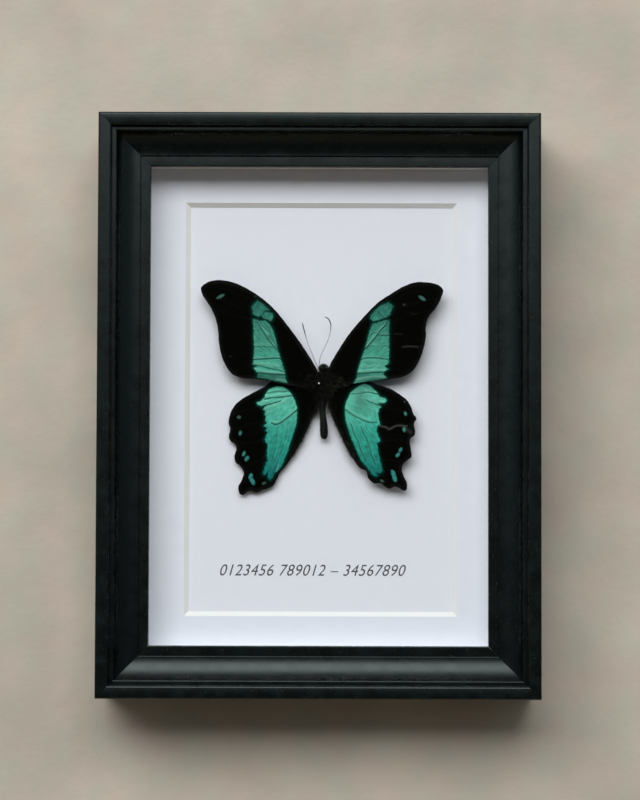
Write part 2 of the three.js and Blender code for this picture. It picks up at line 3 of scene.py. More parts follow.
import bmesh
import bpy
import numpy as np
from mathutils import Matrix, Vector
from mathutils.geometry import delaunay_2d_cdt


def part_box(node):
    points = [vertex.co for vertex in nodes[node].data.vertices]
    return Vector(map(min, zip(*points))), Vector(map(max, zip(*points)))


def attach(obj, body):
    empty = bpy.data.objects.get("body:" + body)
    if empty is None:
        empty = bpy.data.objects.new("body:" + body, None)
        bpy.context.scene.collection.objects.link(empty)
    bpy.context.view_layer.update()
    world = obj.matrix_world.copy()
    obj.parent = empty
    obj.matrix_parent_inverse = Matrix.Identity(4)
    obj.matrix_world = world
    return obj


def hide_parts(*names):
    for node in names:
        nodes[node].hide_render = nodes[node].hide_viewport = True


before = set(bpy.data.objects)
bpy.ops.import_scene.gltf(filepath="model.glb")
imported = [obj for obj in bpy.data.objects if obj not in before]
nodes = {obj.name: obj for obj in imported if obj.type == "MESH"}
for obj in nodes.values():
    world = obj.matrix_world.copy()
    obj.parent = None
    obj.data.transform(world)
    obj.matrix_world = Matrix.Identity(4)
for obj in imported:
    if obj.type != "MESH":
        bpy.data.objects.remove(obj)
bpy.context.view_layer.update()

# ---- The room ----------------------------------------------------------------------------
# The frame hangs on a plain pale wall above a pale floor. One broad soft light stands above
# and to the left, a dim sky fills the shadows, and a second light reaches the frame's back.

MM = 0.001
FRAME_LOW = Vector(map(min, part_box("rail_left")[0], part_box("rail_bottom")[0]))
FRAME_HIGH = Vector(map(max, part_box("rail_right")[1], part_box("rail_top")[1]))
FRAME_MIDDLE = (FRAME_LOW + FRAME_HIGH) / 2
MIDDLE_Z = FRAME_MIDDLE.z

CAMERA_PLACE = (0.00014, -0.8803, MIDDLE_Z - 0.0359)
CAMERA_PITCH = math.radians(2.534)
CAMERA_YAW = math.radians(-0.014)
CAMERA_ROLL = math.radians(0.176)
FOCAL_PIXELS = 2412.8
PICTURE_HEIGHT = 800
SENSOR = 36
CAMERA_REACH = (0.01, 50)

WALL_GAP = 1 * MM  # between the frame's back and the wall
WALL_REACH = 1.3
WALL_TOP = 1.2
WALL_HOLE_INSET = 2 * MM  # the wall is open behind the frame, so its back can be looked at
FLOOR_Z = -2.3
FLOOR_REACH = 3.0
WALL_PINK = (0.474, 0.412, 0.352)
WALL_GREY = (0.434, 0.418, 0.351)
FLOOR_COLOUR = (0.45, 0.34, 0.22)
TROWEL_SCALE, WORN_SCALE, GRIT_SCALE = 60.0, 24.0, 520.0
GRIT_SHARE = 0.22
PLASTER_RELIEF = 0.0015

KEY_AZIMUTH = math.radians(12)  # to the left of the camera
KEY_ELEVATION = math.radians(31)
KEY_DISTANCE = 2.0
KEY_SIZE = (2.12, 1.0)
KEY_POWER = 44.0
KEY_COLOUR = (1.0, 0.985, 0.97)
BACK_PLACE = Vector((0.5, 1.3, 0.8))  # from the frame's middle
BACK_SIZE = (1.0, 1.0)
BACK_POWER = 14
BACK_COLOUR = (1.0, 0.99, 0.97)
SKY_GLOW = 0.42  # how much brighter the ceiling is than the room at eye level
ROOM_GLOW = 0.27  # the room at eye level
LOW_GLOW = 0.035  # the room below eye level
SKY_COLOUR = (0.93, 0.97, 1.0)
HORIZON_BLUR = 0.05
CEILING_RISE = 0.75  # the sine of the angle at which the ceiling is at its brightest
DIM_CONE = (0.93, 0.985)  # the dim room behind the camera, by the angle's cosine
NOISE_RANGE = (0.3, 0.7)  # where most values of a noise lie


def show(obj):
    bpy.context.scene.collection.objects.link(obj)
    return obj


def add(tree, kind, inputs=None, **settings):
    """A node with its settings, each input either a value or a socket to link from."""
    node = tree.nodes.new(kind)
    for name, value in settings.items():
        setattr(node, name, value)
    for name, value in (inputs or {}).items():
        if isinstance(value, bpy.types.NodeSocket):
            tree.links.new(value, node.inputs[name])
        else:
            node.inputs[name].default_value = value
    return node


def calc(tree, operation, *values, clamp=False):
    """A Math node's result, in a shader tree or a geometry tree alike."""
    return add(tree, "ShaderNodeMath", dict(enumerate(values)), operation=operation,
               use_clamp=clamp).outputs[0]


def span(tree, value, low, high, to_low=0.0, to_high=1.0, smooth=False):
    """A value brought from one range into another, and held there."""
    return add(tree, "ShaderNodeMapRange", {0: value, 1: low, 2: high, 3: to_low, 4: to_high},
               interpolation_type="SMOOTHSTEP" if smooth else "LINEAR").outputs[0]


def blend(tree, factor, first, second):
    """Two colours mixed."""
    return add(tree, "ShaderNodeMix", {0: factor, 6: first, 7: second}, data_type="RGBA",
               clamp_result=True).outputs[2]


def rgb(red, green, blue):
    return (red, green, blue, 1.0)


def new_material(name, **settings):
    """A material with a Principled shader whose fixed numbers are set on its own sockets."""
    material = bpy.data.materials.new(name)
    material.use_nodes = True
    tree = material.node_tree
    tree.nodes.clear()
    surface = add(tree, "ShaderNodeBsdfPrincipled")
    for label, value in settings.items():
        surface.inputs[label.replace("_", " ")].default_value = value
    end = add(tree, "ShaderNodeOutputMaterial")
    tree.links.new(surface.outputs[0], end.inputs["Surface"])
    return material, tree, surface, end


def dress(tree, surface, colour, roughness):
    """Feeds a material its colour and its roughness."""
    tree.links.new(colour, surface.inputs["Base Color"])
    tree.links.new(roughness, surface.inputs["Roughness"])


def mesh_object(name, points, faces, edges=()):
    """A mesh object with its place in its points, which are given in metres."""
    mesh = bpy.data.meshes.new(name)
    mesh.from_pydata([tuple(point) for point in points], edges, faces)
    mesh.update()
    return show(bpy.data.objects.new(name, mesh))


camera = show(bpy.data.objects.new("camera", bpy.data.cameras.new("camera")))
camera.data.sensor_width = SENSOR
camera.data.lens = FOCAL_PIXELS / PICTURE_HEIGHT * SENSOR
camera.data.clip_start, camera.data.clip_end = CAMERA_REACH
camera.matrix_world = (
    Matrix.Translation(CAMERA_PLACE)
    @ Matrix.Rotation(CAMERA_YAW, 4, "Z")
    @ Matrix.Rotation(math.pi / 2 + CAMERA_PITCH, 4, "X")
    @ Matrix.Rotation(CAMERA_ROLL, 4, "Z")
)
bpy.context.scene.camera = camera
bpy.context.scene.view_settings.view_transform = "Standard"


def soft_light(name, place, target, size, power, colour):
    lamp = bpy.data.lights.new(name, "AREA")
    lamp.shape = "RECTANGLE"
    lamp.size, lamp.size_y = size
    lamp.energy = power
    lamp.color = colour
    obj = show(bpy.data.objects.new(name, lamp))
    obj.location = place
    obj.rotation_mode = "QUATERNION"
    obj.rotation_quaternion = (target - place).to_track_quat("-Z", "Y")


key_way = Vector((
    -math.sin(KEY_AZIMUTH) * math.cos(KEY_ELEVATION),
    -math.cos(KEY_AZIMUTH) * math.cos(KEY_ELEVATION),
    math.sin(KEY_ELEVATION),
))
soft_light("key_light", FRAME_MIDDLE + key_way * KEY_DISTANCE, FRAME_MIDDLE, KEY_SIZE,
           KEY_POWER, KEY_COLOUR)
soft_light("back_light", FRAME_MIDDLE + BACK_PLACE, FRAME_MIDDLE, BACK_SIZE, BACK_POWER,
           BACK_COLOUR)

world = bpy.data.worlds.new("studio")
bpy.context.scene.world = world
world.use_nodes = True
sky = world.node_tree
sky.nodes.clear()
direction = add(sky, "ShaderNodeTexCoord").outputs["Generated"]
up = add(sky, "ShaderNodeSeparateXYZ", {0: direction}).outputs["Z"]
ahead = add(sky, "ShaderNodeVectorMath", {0: direction, 1: (0, -1, 0)},
            operation="DOT_PRODUCT").outputs["Value"]
unlit = span(sky, ahead, *DIM_CONE, smooth=True)
glow = calc(sky, "ADD", span(sky, up, -HORIZON_BLUR, HORIZON_BLUR, LOW_GLOW, ROOM_GLOW),
            span(sky, up, 0.0, CEILING_RISE, 0.0, SKY_GLOW, smooth=True))
strength = calc(sky, "MULTIPLY", glow, calc(sky, "SUBTRACT", 1.0, unlit))
background = add(sky, "ShaderNodeBackground", {"Color": (*SKY_COLOUR, 1), "Strength": strength})
world_end = add(sky, "ShaderNodeOutputWorld")
sky.links.new(background.outputs[0], world_end.inputs[0])

low_x, high_x = FRAME_LOW.x + WALL_HOLE_INSET, FRAME_HIGH.x - WALL_HOLE_INSET
low_z, high_z = FRAME_LOW.z + WALL_HOLE_INSET, FRAME_HIGH.z - WALL_HOLE_INSET
outer = [(-WALL_REACH, FLOOR_Z), (WALL_REACH, FLOOR_Z), (WALL_REACH, WALL_TOP),
         (-WALL_REACH, WALL_TOP)]
hole = [(low_x, low_z), (high_x, low_z), (high_x, high_z), (low_x, high_z)]
wall = mesh_object(
    "wall",
    [(x, WALL_GAP, z) for x, z in outer + hole],
    [(i, (i + 1) % 4, 4 + (i + 1) % 4, 4 + i) for i in range(4)],
)
floor = mesh_object(
    "floor",
    [(x * FLOOR_REACH, y * FLOOR_REACH, FLOOR_Z) for x, y in ((-1, -1), (1, -1), (1, 1), (-1, 1))],
    [(0, 1, 2, 3)],
)

plaster, tree, surface, end = new_material("plaster", Roughness=0.85, Specular_IOR_Level=0.25)
place = add(tree, "ShaderNodeTexCoord").outputs["Object"]
trowelled = add(tree, "ShaderNodeTexNoise", {"Vector": place, "Scale": TROWEL_SCALE, "Detail": 6.0})
worn = add(tree, "ShaderNodeTexNoise", {"Vector": place, "Scale": WORN_SCALE, "Detail": 5.0})
grit = add(tree, "ShaderNodeTexNoise", {"Vector": place, "Scale": GRIT_SCALE, "Detail": 4.0})
tone = add(tree, "ShaderNodeVectorMath", {
    0: blend(tree, span(tree, trowelled.outputs[0], 0.38, 0.62), rgb(*WALL_PINK), rgb(*WALL_GREY)),
    "Scale": span(tree, worn.outputs[0], *NOISE_RANGE, 0.90, 1.10)}, operation="SCALE")
tree.links.new(tone.outputs[0], surface.inputs["Base Color"])
relief = add(tree, "ShaderNodeBump", {
    "Height": calc(tree, "ADD", trowelled.outputs[0],
                   calc(tree, "MULTIPLY", grit.outputs[0], GRIT_SHARE)),
    "Strength": 0.35, "Distance": PLASTER_RELIEF})
tree.links.new(relief.outputs[0], surface.inputs["Normal"])
from_behind = calc(tree, "MULTIPLY", add(tree, "ShaderNodeNewGeometry").outputs["Backfacing"],
                   add(tree, "ShaderNodeLightPath").outputs["Is Camera Ray"])
open_back = add(tree, "ShaderNodeMixShader", {0: from_behind, 1: surface.outputs[0],
                                              2: add(tree, "ShaderNodeBsdfTransparent").outputs[0]})
tree.links.new(open_back.outputs[0], end.inputs["Surface"])
wall.data.materials.append(plaster)

paving, tree, surface, _ = new_material("floor_paint", Roughness=0.7, Specular_IOR_Level=0.3)
mottle = add(tree, "ShaderNodeTexNoise",
             {"Vector": add(tree, "ShaderNodeTexCoord").outputs["Object"], "Scale": 5.0})
tree.links.new(
    blend(tree, mottle.outputs[0], rgb(*(c * 0.96 for c in FLOOR_COLOUR)), rgb(*FLOOR_COLOUR)),
    surface.inputs["Base Color"],
)
floor.data.materials.append(paving)

# ---- Frame rails -------------------------------------------------------------------------
# Four lengths of one wooden moulding, sprayed satin black and mitred at the corners: a flat
# outer lip, a step, a deep cove and a small fillet with softened edges, then the sight edge.

RAIL_WIDTH = 18 * MM
FRAME_DEPTH = FRAME_HIGH.y - FRAME_LOW.y
REBATE_WIDTH = 5 * MM
REBATE_FLOOR = 23.6 * MM  # heights run from the wall towards the viewer
MITRE_GAP = 0.1 * MM
OUTER_LIP_WIDTH = 4.7 * MM
OUTER_EDGE_RADIUS = 0.8 * MM
OUTER_LIP_INNER_RADIUS = 0.9 * MM
STEP_WIDTH = 1.7 * MM
STEP_RADIUS = 0.5 * MM
STEP_HEIGHT = 33.4 * MM
LIP_FALL = 0.3 * MM  # the outer lip leans inwards a little
COVE_WIDTH = 7.6 * MM
COVE_DEPTH = 5.0 * MM
COVE_FLOOR = 27.9 * MM
DISH_RADIUS = 13.6 * MM  # the cove opens into a shallow dish beside the fillet
DISH_SLOPES = (30, 4)  # in degrees, at its two ends
FILLET_WIDTH = 0.5 * MM
FILLET_RADIUS = 0.3 * MM
SIGHT_LIP_HEIGHT = 27.1 * MM
SIGHT_EDGE_RADIUS = 0.35 * MM
TAB_PLAY = 0.1 * MM
PAINT_BLACK = (0.0012, 0.0026, 0.0024)
PAINT_RUBBED = (0.006, 0.010, 0.009)
PAINT_SHEEN = (0.82, 1.0, 1.0, 1.0)
PAINT_GRAIN = (0.55, 0.55, 0.55)
PAINT_RELIEF = 0.006 * MM
DUST = (0.23, 0.22, 0.20)
SHARP_EDGE = math.radians(38)


def geometry_tree(name, sockets):
    """A Geometry Nodes tree with named inputs, and its input sockets by name."""
    tree = bpy.data.node_groups.new(name, "GeometryNodeTree")
    tree.interface.new_socket("Geometry", in_out="INPUT", socket_type="NodeSocketGeometry")
    for label, kind in sockets.items():
        tree.interface.new_socket(label, in_out="INPUT", socket_type=f"NodeSocket{kind}")
    tree.interface.new_socket("Geometry", in_out="OUTPUT", socket_type="NodeSocketGeometry")
    return tree, tree.nodes.new("NodeGroupInput").outputs


def close_tree(tree, geometry, material):
    """Ends a tree in real geometry with its material on it."""
    real = add(tree, "GeometryNodeRealizeInstances", {"Geometry": geometry})
    dressed = add(tree, "GeometryNodeSetMaterial",
                  {"Geometry": real.outputs[0], "Material": material})
    end = tree.nodes.new("NodeGroupOutput")
    tree.links.new(dressed.outputs[0], end.inputs[0])


def settle(obj):
    """Turns an object's modifiers into its plain mesh, and takes them off."""
    graph = bpy.context.evaluated_depsgraph_get()
    mesh = bpy.data.meshes.new_from_object(
        obj.evaluated_get(graph), preserve_all_data_layers=True, depsgraph=graph)
    mesh.name = obj.name
    obj.modifiers.clear()
    obj.data = mesh
    return obj


def grow(obj, tree, **values):
    """Runs a tree on an object once, with the values of its named inputs."""
    modifier = obj.modifiers.new(tree.name, "NODES")
    modifier.node_group = tree
    labels = {label.replace(" ", "_").lower(): label for label in tree.interface.items_tree.keys()}
    for name, value in values.items():
        modifier[tree.interface.items_tree[labels[name]].identifier] = value
    return settle(obj)


def face_out(obj, sharp=SHARP_EDGE):
    """Turns a closed mesh's faces outwards and shades it smooth up to its sharp edges."""
    work = bmesh.new()
    work.from_mesh(obj.data)
    bmesh.ops.recalc_face_normals(work, faces=work.faces)
    work.to_mesh(obj.data)
    work.free()
    obj.data.shade_smooth()
    obj.data.set_sharp_from_angle(angle=sharp)
    return obj


def fit(obj, slot, *replaced):
    """Gives a finished piece to the frame's body, and hides the CAD pieces it stands for. The slot is
    not used.
    """
    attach(obj, "root")
    if replaced:
        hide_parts(*replaced)
    return obj


def arc(centre_x, centre_y, radius, start, end, steps):
    """Points on an arc, between two angles in degrees."""
    angles = np.radians(np.linspace(start, end, steps + 1))
    return [(centre_x + radius * math.cos(a), centre_y + radius * math.sin(a)) for a in angles]


def moulding_section():
    """The section from the outer edge inwards: (inward, height off the wall, how exposed)."""
    cove_x = OUTER_LIP_WIDTH + STEP_WIDTH
    fillet_x = cove_x + COVE_WIDTH
    lip_x = fillet_x + FILLET_WIDTH
    steep, gentle = (math.radians(slope) for slope in DISH_SLOPES)
    dish = arc(fillet_x + DISH_RADIUS * math.sin(gentle), COVE_FLOOR + DISH_RADIUS * math.cos(gentle),
               DISH_RADIUS, 270 - DISH_SLOPES[0], 270 - DISH_SLOPES[1], 16)
    foot_x, foot = dish[0]
    run = foot_x - cove_x
    climb = COVE_FLOOR + COVE_DEPTH - foot - run * math.tan(steep)
    cove = [(foot_x - run * math.sin(a), foot + run * math.tan(steep) * math.sin(a)
             + climb * (1 - math.cos(a))) for a in np.radians(np.linspace(90, 0, 15)[:-1])] + dish
    ruled = [
        ([(0, 0)], 0.2),
        (arc(OUTER_EDGE_RADIUS, FRAME_DEPTH - OUTER_EDGE_RADIUS, OUTER_EDGE_RADIUS, 180, 90, 10), 1),
        (arc(OUTER_LIP_WIDTH - OUTER_LIP_INNER_RADIUS,
             FRAME_DEPTH - LIP_FALL - OUTER_LIP_INNER_RADIUS, OUTER_LIP_INNER_RADIUS, 87, 0, 8), 0.8),
        ([(OUTER_LIP_WIDTH, STEP_HEIGHT)], 0),
        (arc(cove_x - STEP_RADIUS, STEP_HEIGHT - STEP_RADIUS, STEP_RADIUS, 90, 0, 10), 0.6),
        (cove, 0),
        (arc(lip_x - FILLET_RADIUS, COVE_FLOOR - FILLET_RADIUS, FILLET_RADIUS, 90, 0, 8), 0.6),
        ([(lip_x, SIGHT_LIP_HEIGHT)], 0.1),
        (arc(RAIL_WIDTH - SIGHT_EDGE_RADIUS, SIGHT_LIP_HEIGHT - SIGHT_EDGE_RADIUS,
             SIGHT_EDGE_RADIUS, 90, 0, 10), 1),
        ([(RAIL_WIDTH, REBATE_FLOOR), (RAIL_WIDTH - REBATE_WIDTH, REBATE_FLOOR),
          (RAIL_WIDTH - REBATE_WIDTH, 0)], 0.1),
    ]
    return [(x, height, exposed) for points, exposed in ruled for x, height in points]


# The moulding tree sweeps the section along a side and draws it in at both ends, at 45 degrees.
rail_tree, given = geometry_tree("Mitred moulding", {
    "Half length": "Float", "Outer distance": "Float", "Gap": "Float", "Middle height": "Float",
    "Outwards": "Vector", "Along": "Vector", "Material": "Material"})
section = add(rail_tree, "GeometryNodeMeshToCurve", {"Mesh": given["Geometry"]})
run = add(rail_tree, "GeometryNodeCurvePrimitiveLine", {"Start": (-1, 0, 0), "End": (1, 0, 0)})
sweep = add(rail_tree, "GeometryNodeCurveToMesh", {
    "Curve": run.outputs[0], "Profile Curve": section.outputs[0], "Fill Caps": True})
swept = add(rail_tree, "ShaderNodeSeparateXYZ",
            {0: add(rail_tree, "GeometryNodeInputPosition").outputs[0]}).outputs
inward = calc(rail_tree, "MULTIPLY", swept["Y"], -1.0)
reach = calc(rail_tree, "SUBTRACT", calc(rail_tree, "SUBTRACT", given["Half length"], inward),
             calc(rail_tree, "MULTIPLY", given["Gap"], 0.5))
along = add(rail_tree, "ShaderNodeVectorMath", {
    0: given["Along"], "Scale": calc(rail_tree, "MULTIPLY", swept["X"], reach)},
    operation="SCALE").outputs[0]
outwards = add(rail_tree, "ShaderNodeVectorMath", {
    0: given["Outwards"], "Scale": calc(rail_tree, "SUBTRACT", given["Outer distance"], inward)},
    operation="SCALE").outputs[0]
level = add(rail_tree, "ShaderNodeCombineXYZ", {"Y": swept["Z"], "Z": given["Middle height"]})
spot = add(rail_tree, "ShaderNodeVectorMath", {
    0: add(rail_tree, "ShaderNodeVectorMath", {0: along, 1: outwards}).outputs[0],
    1: level.outputs[0]}).outputs[0]
mitred = add(rail_tree, "GeometryNodeSetPosition", {"Geometry": sweep.outputs[0], "Position": spot})
close_tree(rail_tree, mitred.outputs[0], given["Material"])


def shader_group(name, inputs, outputs):
    """A shader node group with its input sockets by name, and a way to feed its outputs."""
    tree = bpy.data.node_groups.new(name, "ShaderNodeTree")
    for label, kind in inputs.items():
        tree.interface.new_socket(label, in_out="INPUT", socket_type=f"NodeSocket{kind}")
    for label in outputs:
        tree.interface.new_socket(label, in_out="OUTPUT", socket_type="NodeSocketFloat")
    end = tree.nodes.new("NodeGroupOutput")
    return tree, tree.nodes.new("NodeGroupInput").outputs, end.inputs


def use(tree, group, **values):
    """Places a group in a material with its own values, and returns its outputs."""
    node = add(tree, "ShaderNodeGroup", node_tree=group)
    for label, value in values.items():
        node.inputs[label.replace("_", " ")].default_value = value
    return node.outputs


def bump(tree, surface, height, depth):
    """Relief of a depth in metres on a material."""
    relief = add(tree, "ShaderNodeBump", {"Height": height, "Distance": depth, "Strength": 1.0})
    tree.links.new(relief.outputs[0], surface.inputs["Normal"])


# Fine grain of a given size in millimetres along each axis, and a slow mottle over it.
grain_group, given, put = shader_group("Fine grain", {"Grain size": "Vector"}, ["Height", "Mottle"])
in_mm = add(grain_group, "ShaderNodeVectorMath", {
    0: add(grain_group, "ShaderNodeTexCoord").outputs["Object"], "Scale": 1 / MM},
    operation="SCALE").outputs[0]
cells = add(grain_group, "ShaderNodeVectorMath", {0: in_mm, 1: given["Grain size"]},
            operation="DIVIDE").outputs[0]
fine = add(grain_group, "ShaderNodeTexNoise", {"Vector": cells, "Scale": 1.0, "Detail": 3.0})
slow = add(grain_group, "ShaderNodeTexNoise", {"Vector": cells, "Scale": 0.11, "Detail": 2.0})
grain_group.links.new(fine.outputs[0], put["Height"])
grain_group.links.new(slow.outputs[0], put["Mottle"])

# Dust: a thin film on what faces up, and scattered specks.
dust_group, given, put = shader_group("Settled dust", {"Film": "Float", "Specks": "Float"}, ["Mask"])
facing = add(dust_group, "ShaderNodeSeparateXYZ", {
    0: add(dust_group, "ShaderNodeNewGeometry").outputs["Normal"]}).outputs["Z"]
place = add(dust_group, "ShaderNodeTexCoord").outputs["Object"]
cloud = add(dust_group, "ShaderNodeTexNoise", {"Vector": place, "Scale": 260.0, "Detail": 4.0})
fleck = add(dust_group, "ShaderNodeTexNoise", {"Vector": place, "Scale": 1500.0, "Detail": 1.0})
film = calc(dust_group, "MULTIPLY", span(dust_group, facing, 0.1, 0.95),
            span(dust_group, cloud.outputs[0], 0.3, 0.75))
specks = calc(dust_group, "MULTIPLY", span(dust_group, fleck.outputs[0], 0.69, 0.74),
              given["Specks"])
mask = calc(dust_group, "ADD", calc(dust_group, "MULTIPLY", film, given["Film"]), specks,
            clamp=True)
dust_group.links.new(mask, put["Mask"])

rail_paint, tree, surface, _ = new_material(
    "satin_black_paint", Specular_IOR_Level=0.275, Specular_Tint=PAINT_SHEEN)
grain = use(tree, grain_group, Grain_size=PAINT_GRAIN)
exposed = add(tree, "ShaderNodeAttribute", attribute_name="exposed").outputs["Fac"]
rubbed = calc(tree, "MULTIPLY", exposed, span(tree, grain["Mottle"], 0.45, 0.75))
dusty = use(tree, dust_group, Film=0.05, Specks=0.06)["Mask"]
coloured = blend(tree, rubbed, rgb(*PAINT_BLACK), rgb(*PAINT_RUBBED))
dress(tree, surface, blend(tree, dusty, coloured, rgb(*DUST)),
      calc(tree, "ADD", span(tree, grain["Mottle"], *NOISE_RANGE, 0.25, 0.31),
           calc(tree, "SUBTRACT", calc(tree, "MULTIPLY", dusty, 0.4),
                calc(tree, "MULTIPLY", rubbed, 0.08))))
bump(tree, surface, grain["Height"], PAINT_RELIEF)

SIDES = {
    "top": Vector((0, 0, 1)), "bottom": Vector((0, 0, -1)),
    "left": Vector((-1, 0, 0)), "right": Vector((1, 0, 0)),
}
HALF_WIDTH = (FRAME_HIGH.x - FRAME_LOW.x) / 2
HALF_HEIGHT = (FRAME_HIGH.z - FRAME_LOW.z) / 2
TABS = {
    "top": ["back_tab_top"], "bottom": ["back_tab_bottom"],
    "left": ["back_tab_left_upper", "back_tab_left_lower"],
    "right": ["back_tab_right_upper", "back_tab_right_lower"],
}


def block(name, low, high):
    """A closed box between two corners."""
    corners = [(x, y, z) for x in (low.x, high.x) for y in (low.y, high.y) for z in (low.z, high.z)]
    faces = [(0, 1, 3, 2), (4, 6, 7, 5), (0, 4, 5, 1), (2, 3, 7, 6), (0, 2, 6, 4), (1, 5, 7, 3)]
    return mesh_object(name, corners, faces)


section_points = moulding_section()
for side, outwards in SIDES.items():
    rail = mesh_object(
        f"moulding_{side}", [(x, height, 0) for x, height, _ in section_points], [],
        [(i, (i + 1) % len(section_points)) for i in range(len(section_points))])
    marks = rail.data.attributes.new("exposed", "FLOAT", "POINT")
    marks.data.foreach_set("value", [mark for _, _, mark in section_points])
    grow(rail, rail_tree, half_length=HALF_HEIGHT if outwards.x else HALF_WIDTH,
         outer_distance=HALF_WIDTH if outwards.x else HALF_HEIGHT, gap=MITRE_GAP,
         middle_height=MIDDLE_Z, outwards=outwards,
         along=Vector((abs(outwards.z), 0, abs(outwards.x))), material=rail_paint)
    face_out(rail)
    slots = []
    for tab in TABS[side]:
        low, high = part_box(tab)
        play = Vector((TAB_PLAY,) * 3)
        slots.append(block(f"slot_{tab}", low - play, high + play))
        cutter = rail.modifiers.new("slot", "BOOLEAN")
        cutter.operation, cutter.solver, cutter.object = "DIFFERENCE", "EXACT", slots[-1]
    settle(rail)
    for slot in slots:
        bpy.data.objects.remove(slot)
    rail.data.set_sharp_from_angle(angle=SHARP_EDGE)
    fit(rail, "frame_paint", f"rail_{side}")

# ---- Glazing -----------------------------------------------------------------------------
# One pane of 2 mm clear float glass with ground edges, which lies on the rebate behind the
# sight edge. Light for the board passes straight through it.

GLASS_TINT = (0.985, 0.995, 0.99)
GLASS_SHADE = (0.97, 0.98, 0.975)  # what is left of light that goes straight through

clear_glass, tree, surface, end = new_material(
    "clear_glass", Base_Color=rgb(*GLASS_TINT), Roughness=0.0, IOR=1.5, Transmission_Weight=1.0)
passing = add(tree, "ShaderNodeLightPath").outputs
through = add(tree, "ShaderNodeBsdfTransparent", {"Color": rgb(*GLASS_SHADE)}).outputs[0]
for_diffuse = add(tree, "ShaderNodeMixShader", {
    0: passing["Is Diffuse Ray"], 1: surface.outputs[0], 2: through})
for_shadow = add(tree, "ShaderNodeMixShader", {
    0: passing["Is Shadow Ray"], 1: for_diffuse.outputs[0], 2: through})
tree.links.new(for_shadow.outputs[0], end.inputs["Surface"])


def finish_node(name, material):
    """Gives a CAD piece whose shape is right its material."""
    slots = nodes[name].data.materials
    slots.clear()
    slots.append(material)


finish_node("glass", clear_glass)

# ---- Spacers -----------------------------------------------------------------------------
# Four strips of white foam board, cut with a knife and laid in the rebate. They hold the
# glass off the mat, so that the wings and the pin don't touch it.

FOAM_CELL = (0.5, 0.9, 0.5)
FOAM_RELIEF = 0.08 * MM
FOAM_LIGHT = (0.82, 0.82, 0.80)
FOAM_SHADE = (0.70, 0.70, 0.68)

foam, tree, surface, _ = new_material("foam_board", Specular_IOR_Level=0.2)
grain = use(tree, grain_group, Grain_size=FOAM_CELL)
dress(tree, surface, blend(tree, grain["Height"], rgb(*FOAM_SHADE), rgb(*FOAM_LIGHT)),
      span(tree, grain["Mottle"], *NOISE_RANGE, 0.75, 0.9))
bump(tree, surface, grain["Height"], FOAM_RELIEF)
for side in SIDES:
    finish_node(f"spacer_{side}", foam)

# ---- Mat ---------------------------------------------------------------------------------
# A sheet of off-white mat board. Its window is cut with a bevel cutter at 45 degrees, which
# bares the board's brighter core as a thin slope around the opening.

PAPER_WHITE = (0.775, 0.80, 0.89)
PAPER_SHADE = (0.745, 0.77, 0.865)
CORE_WHITE = (0.79, 0.795, 0.80)
CORE_EASING = (0.45, 1.0, 0.9)
PULP_GRAIN = (0.35, 0.35, 0.35)
FIBRE_GRAIN = (2.4, 1.0, 0.22)
PAPER_TOOTH = 0.02 * MM


def paper(name, light, shade):
    """Uncoated board: short pulp fibres, a slow cloudiness and a faint tooth."""
    material, tree, surface, _ = new_material(name, Specular_IOR_Level=0.25)
    grain = use(tree, grain_group, Grain_size=PULP_GRAIN)
    fibres = use(tree, grain_group, Grain_size=FIBRE_GRAIN)
    cloudy = calc(tree, "ADD", calc(tree, "MULTIPLY", grain["Mottle"], 0.6),
                  calc(tree, "MULTIPLY", fibres["Height"], 0.4))
    colour = blend(tree, span(tree, cloudy, 0.35, 0.65), rgb(*shade), rgb(*light))
    dress(tree, surface, colour, span(tree, grain["Height"], *NOISE_RANGE, 0.82, 0.95))
    tooth = calc(tree, "ADD", grain["Height"], calc(tree, "MULTIPLY", fibres["Height"], 0.6))
    bump(tree, surface, tooth, PAPER_TOOTH)
    return material, tree, surface, colour


mat_paper, tree, surface, colour = paper("mat_paper", PAPER_WHITE, PAPER_SHADE)
tilt = add(tree, "ShaderNodeSeparateXYZ", {
    0: add(tree, "ShaderNodeNewGeometry").outputs["True Normal"]}).outputs["Y"]
sloped = calc(tree, "MULTIPLY", span(tree, calc(tree, "ABSOLUTE", tilt), 0.5, 0.6),
              span(tree, calc(tree, "ABSOLUTE", tilt), 0.9, 0.8))
tree.links.new(blend(tree, sloped, colour, rgb(*CORE_WHITE)), surface.inputs["Base Color"])
# light travels sideways in the open fibres of the cut, so its upright slopes shade softly
eased = add(tree, "ShaderNodeVectorMath", {
    0: add(tree, "ShaderNodeNewGeometry").outputs["Normal"], 1: CORE_EASING}, operation="MULTIPLY")
eased = add(tree, "ShaderNodeVectorMath", {0: eased.outputs[0]}, operation="NORMALIZE")
tree.links.new(eased.outputs[0], surface.inputs["Normal"].links[0].from_node.inputs["Normal"])
finish_node("mat_board", mat_paper)

# ---- Mount board -------------------------------------------------------------------------
# The white board behind the window, which the pin is pushed into. A line of small slanted
# numerals is printed on it below the specimen, in dark grey ink.

MOUNT_WHITE = (0.775, 0.79, 0.87)
MOUNT_SHADE = (0.747, 0.765, 0.85)

mount_paper, *_ = paper("mount_paper", MOUNT_WHITE, MOUNT_SHADE)
finish_node("mount_board", mount_paper)

NUMERALS = "0123456 789012 – 34567890"
NUMERALS_LEFT = -35.3 * MM
NUMERALS_WIDTH = 66.6 * MM
NUMERALS_HEIGHT = 4.0 * MM
NUMERALS_BASE = -137.6 * MM
NUMERALS_SLANT = 0.32
NUMERALS_SPACING = 1.08
INK_THICKNESS = 0.02 * MM
INK_GAP = 0.01 * MM
INK_GRAIN = (0.18, 0.18, 0.18)
INK_DARK = (0.035, 0.037, 0.042)
INK_FAINT = (0.11, 0.115, 0.125)

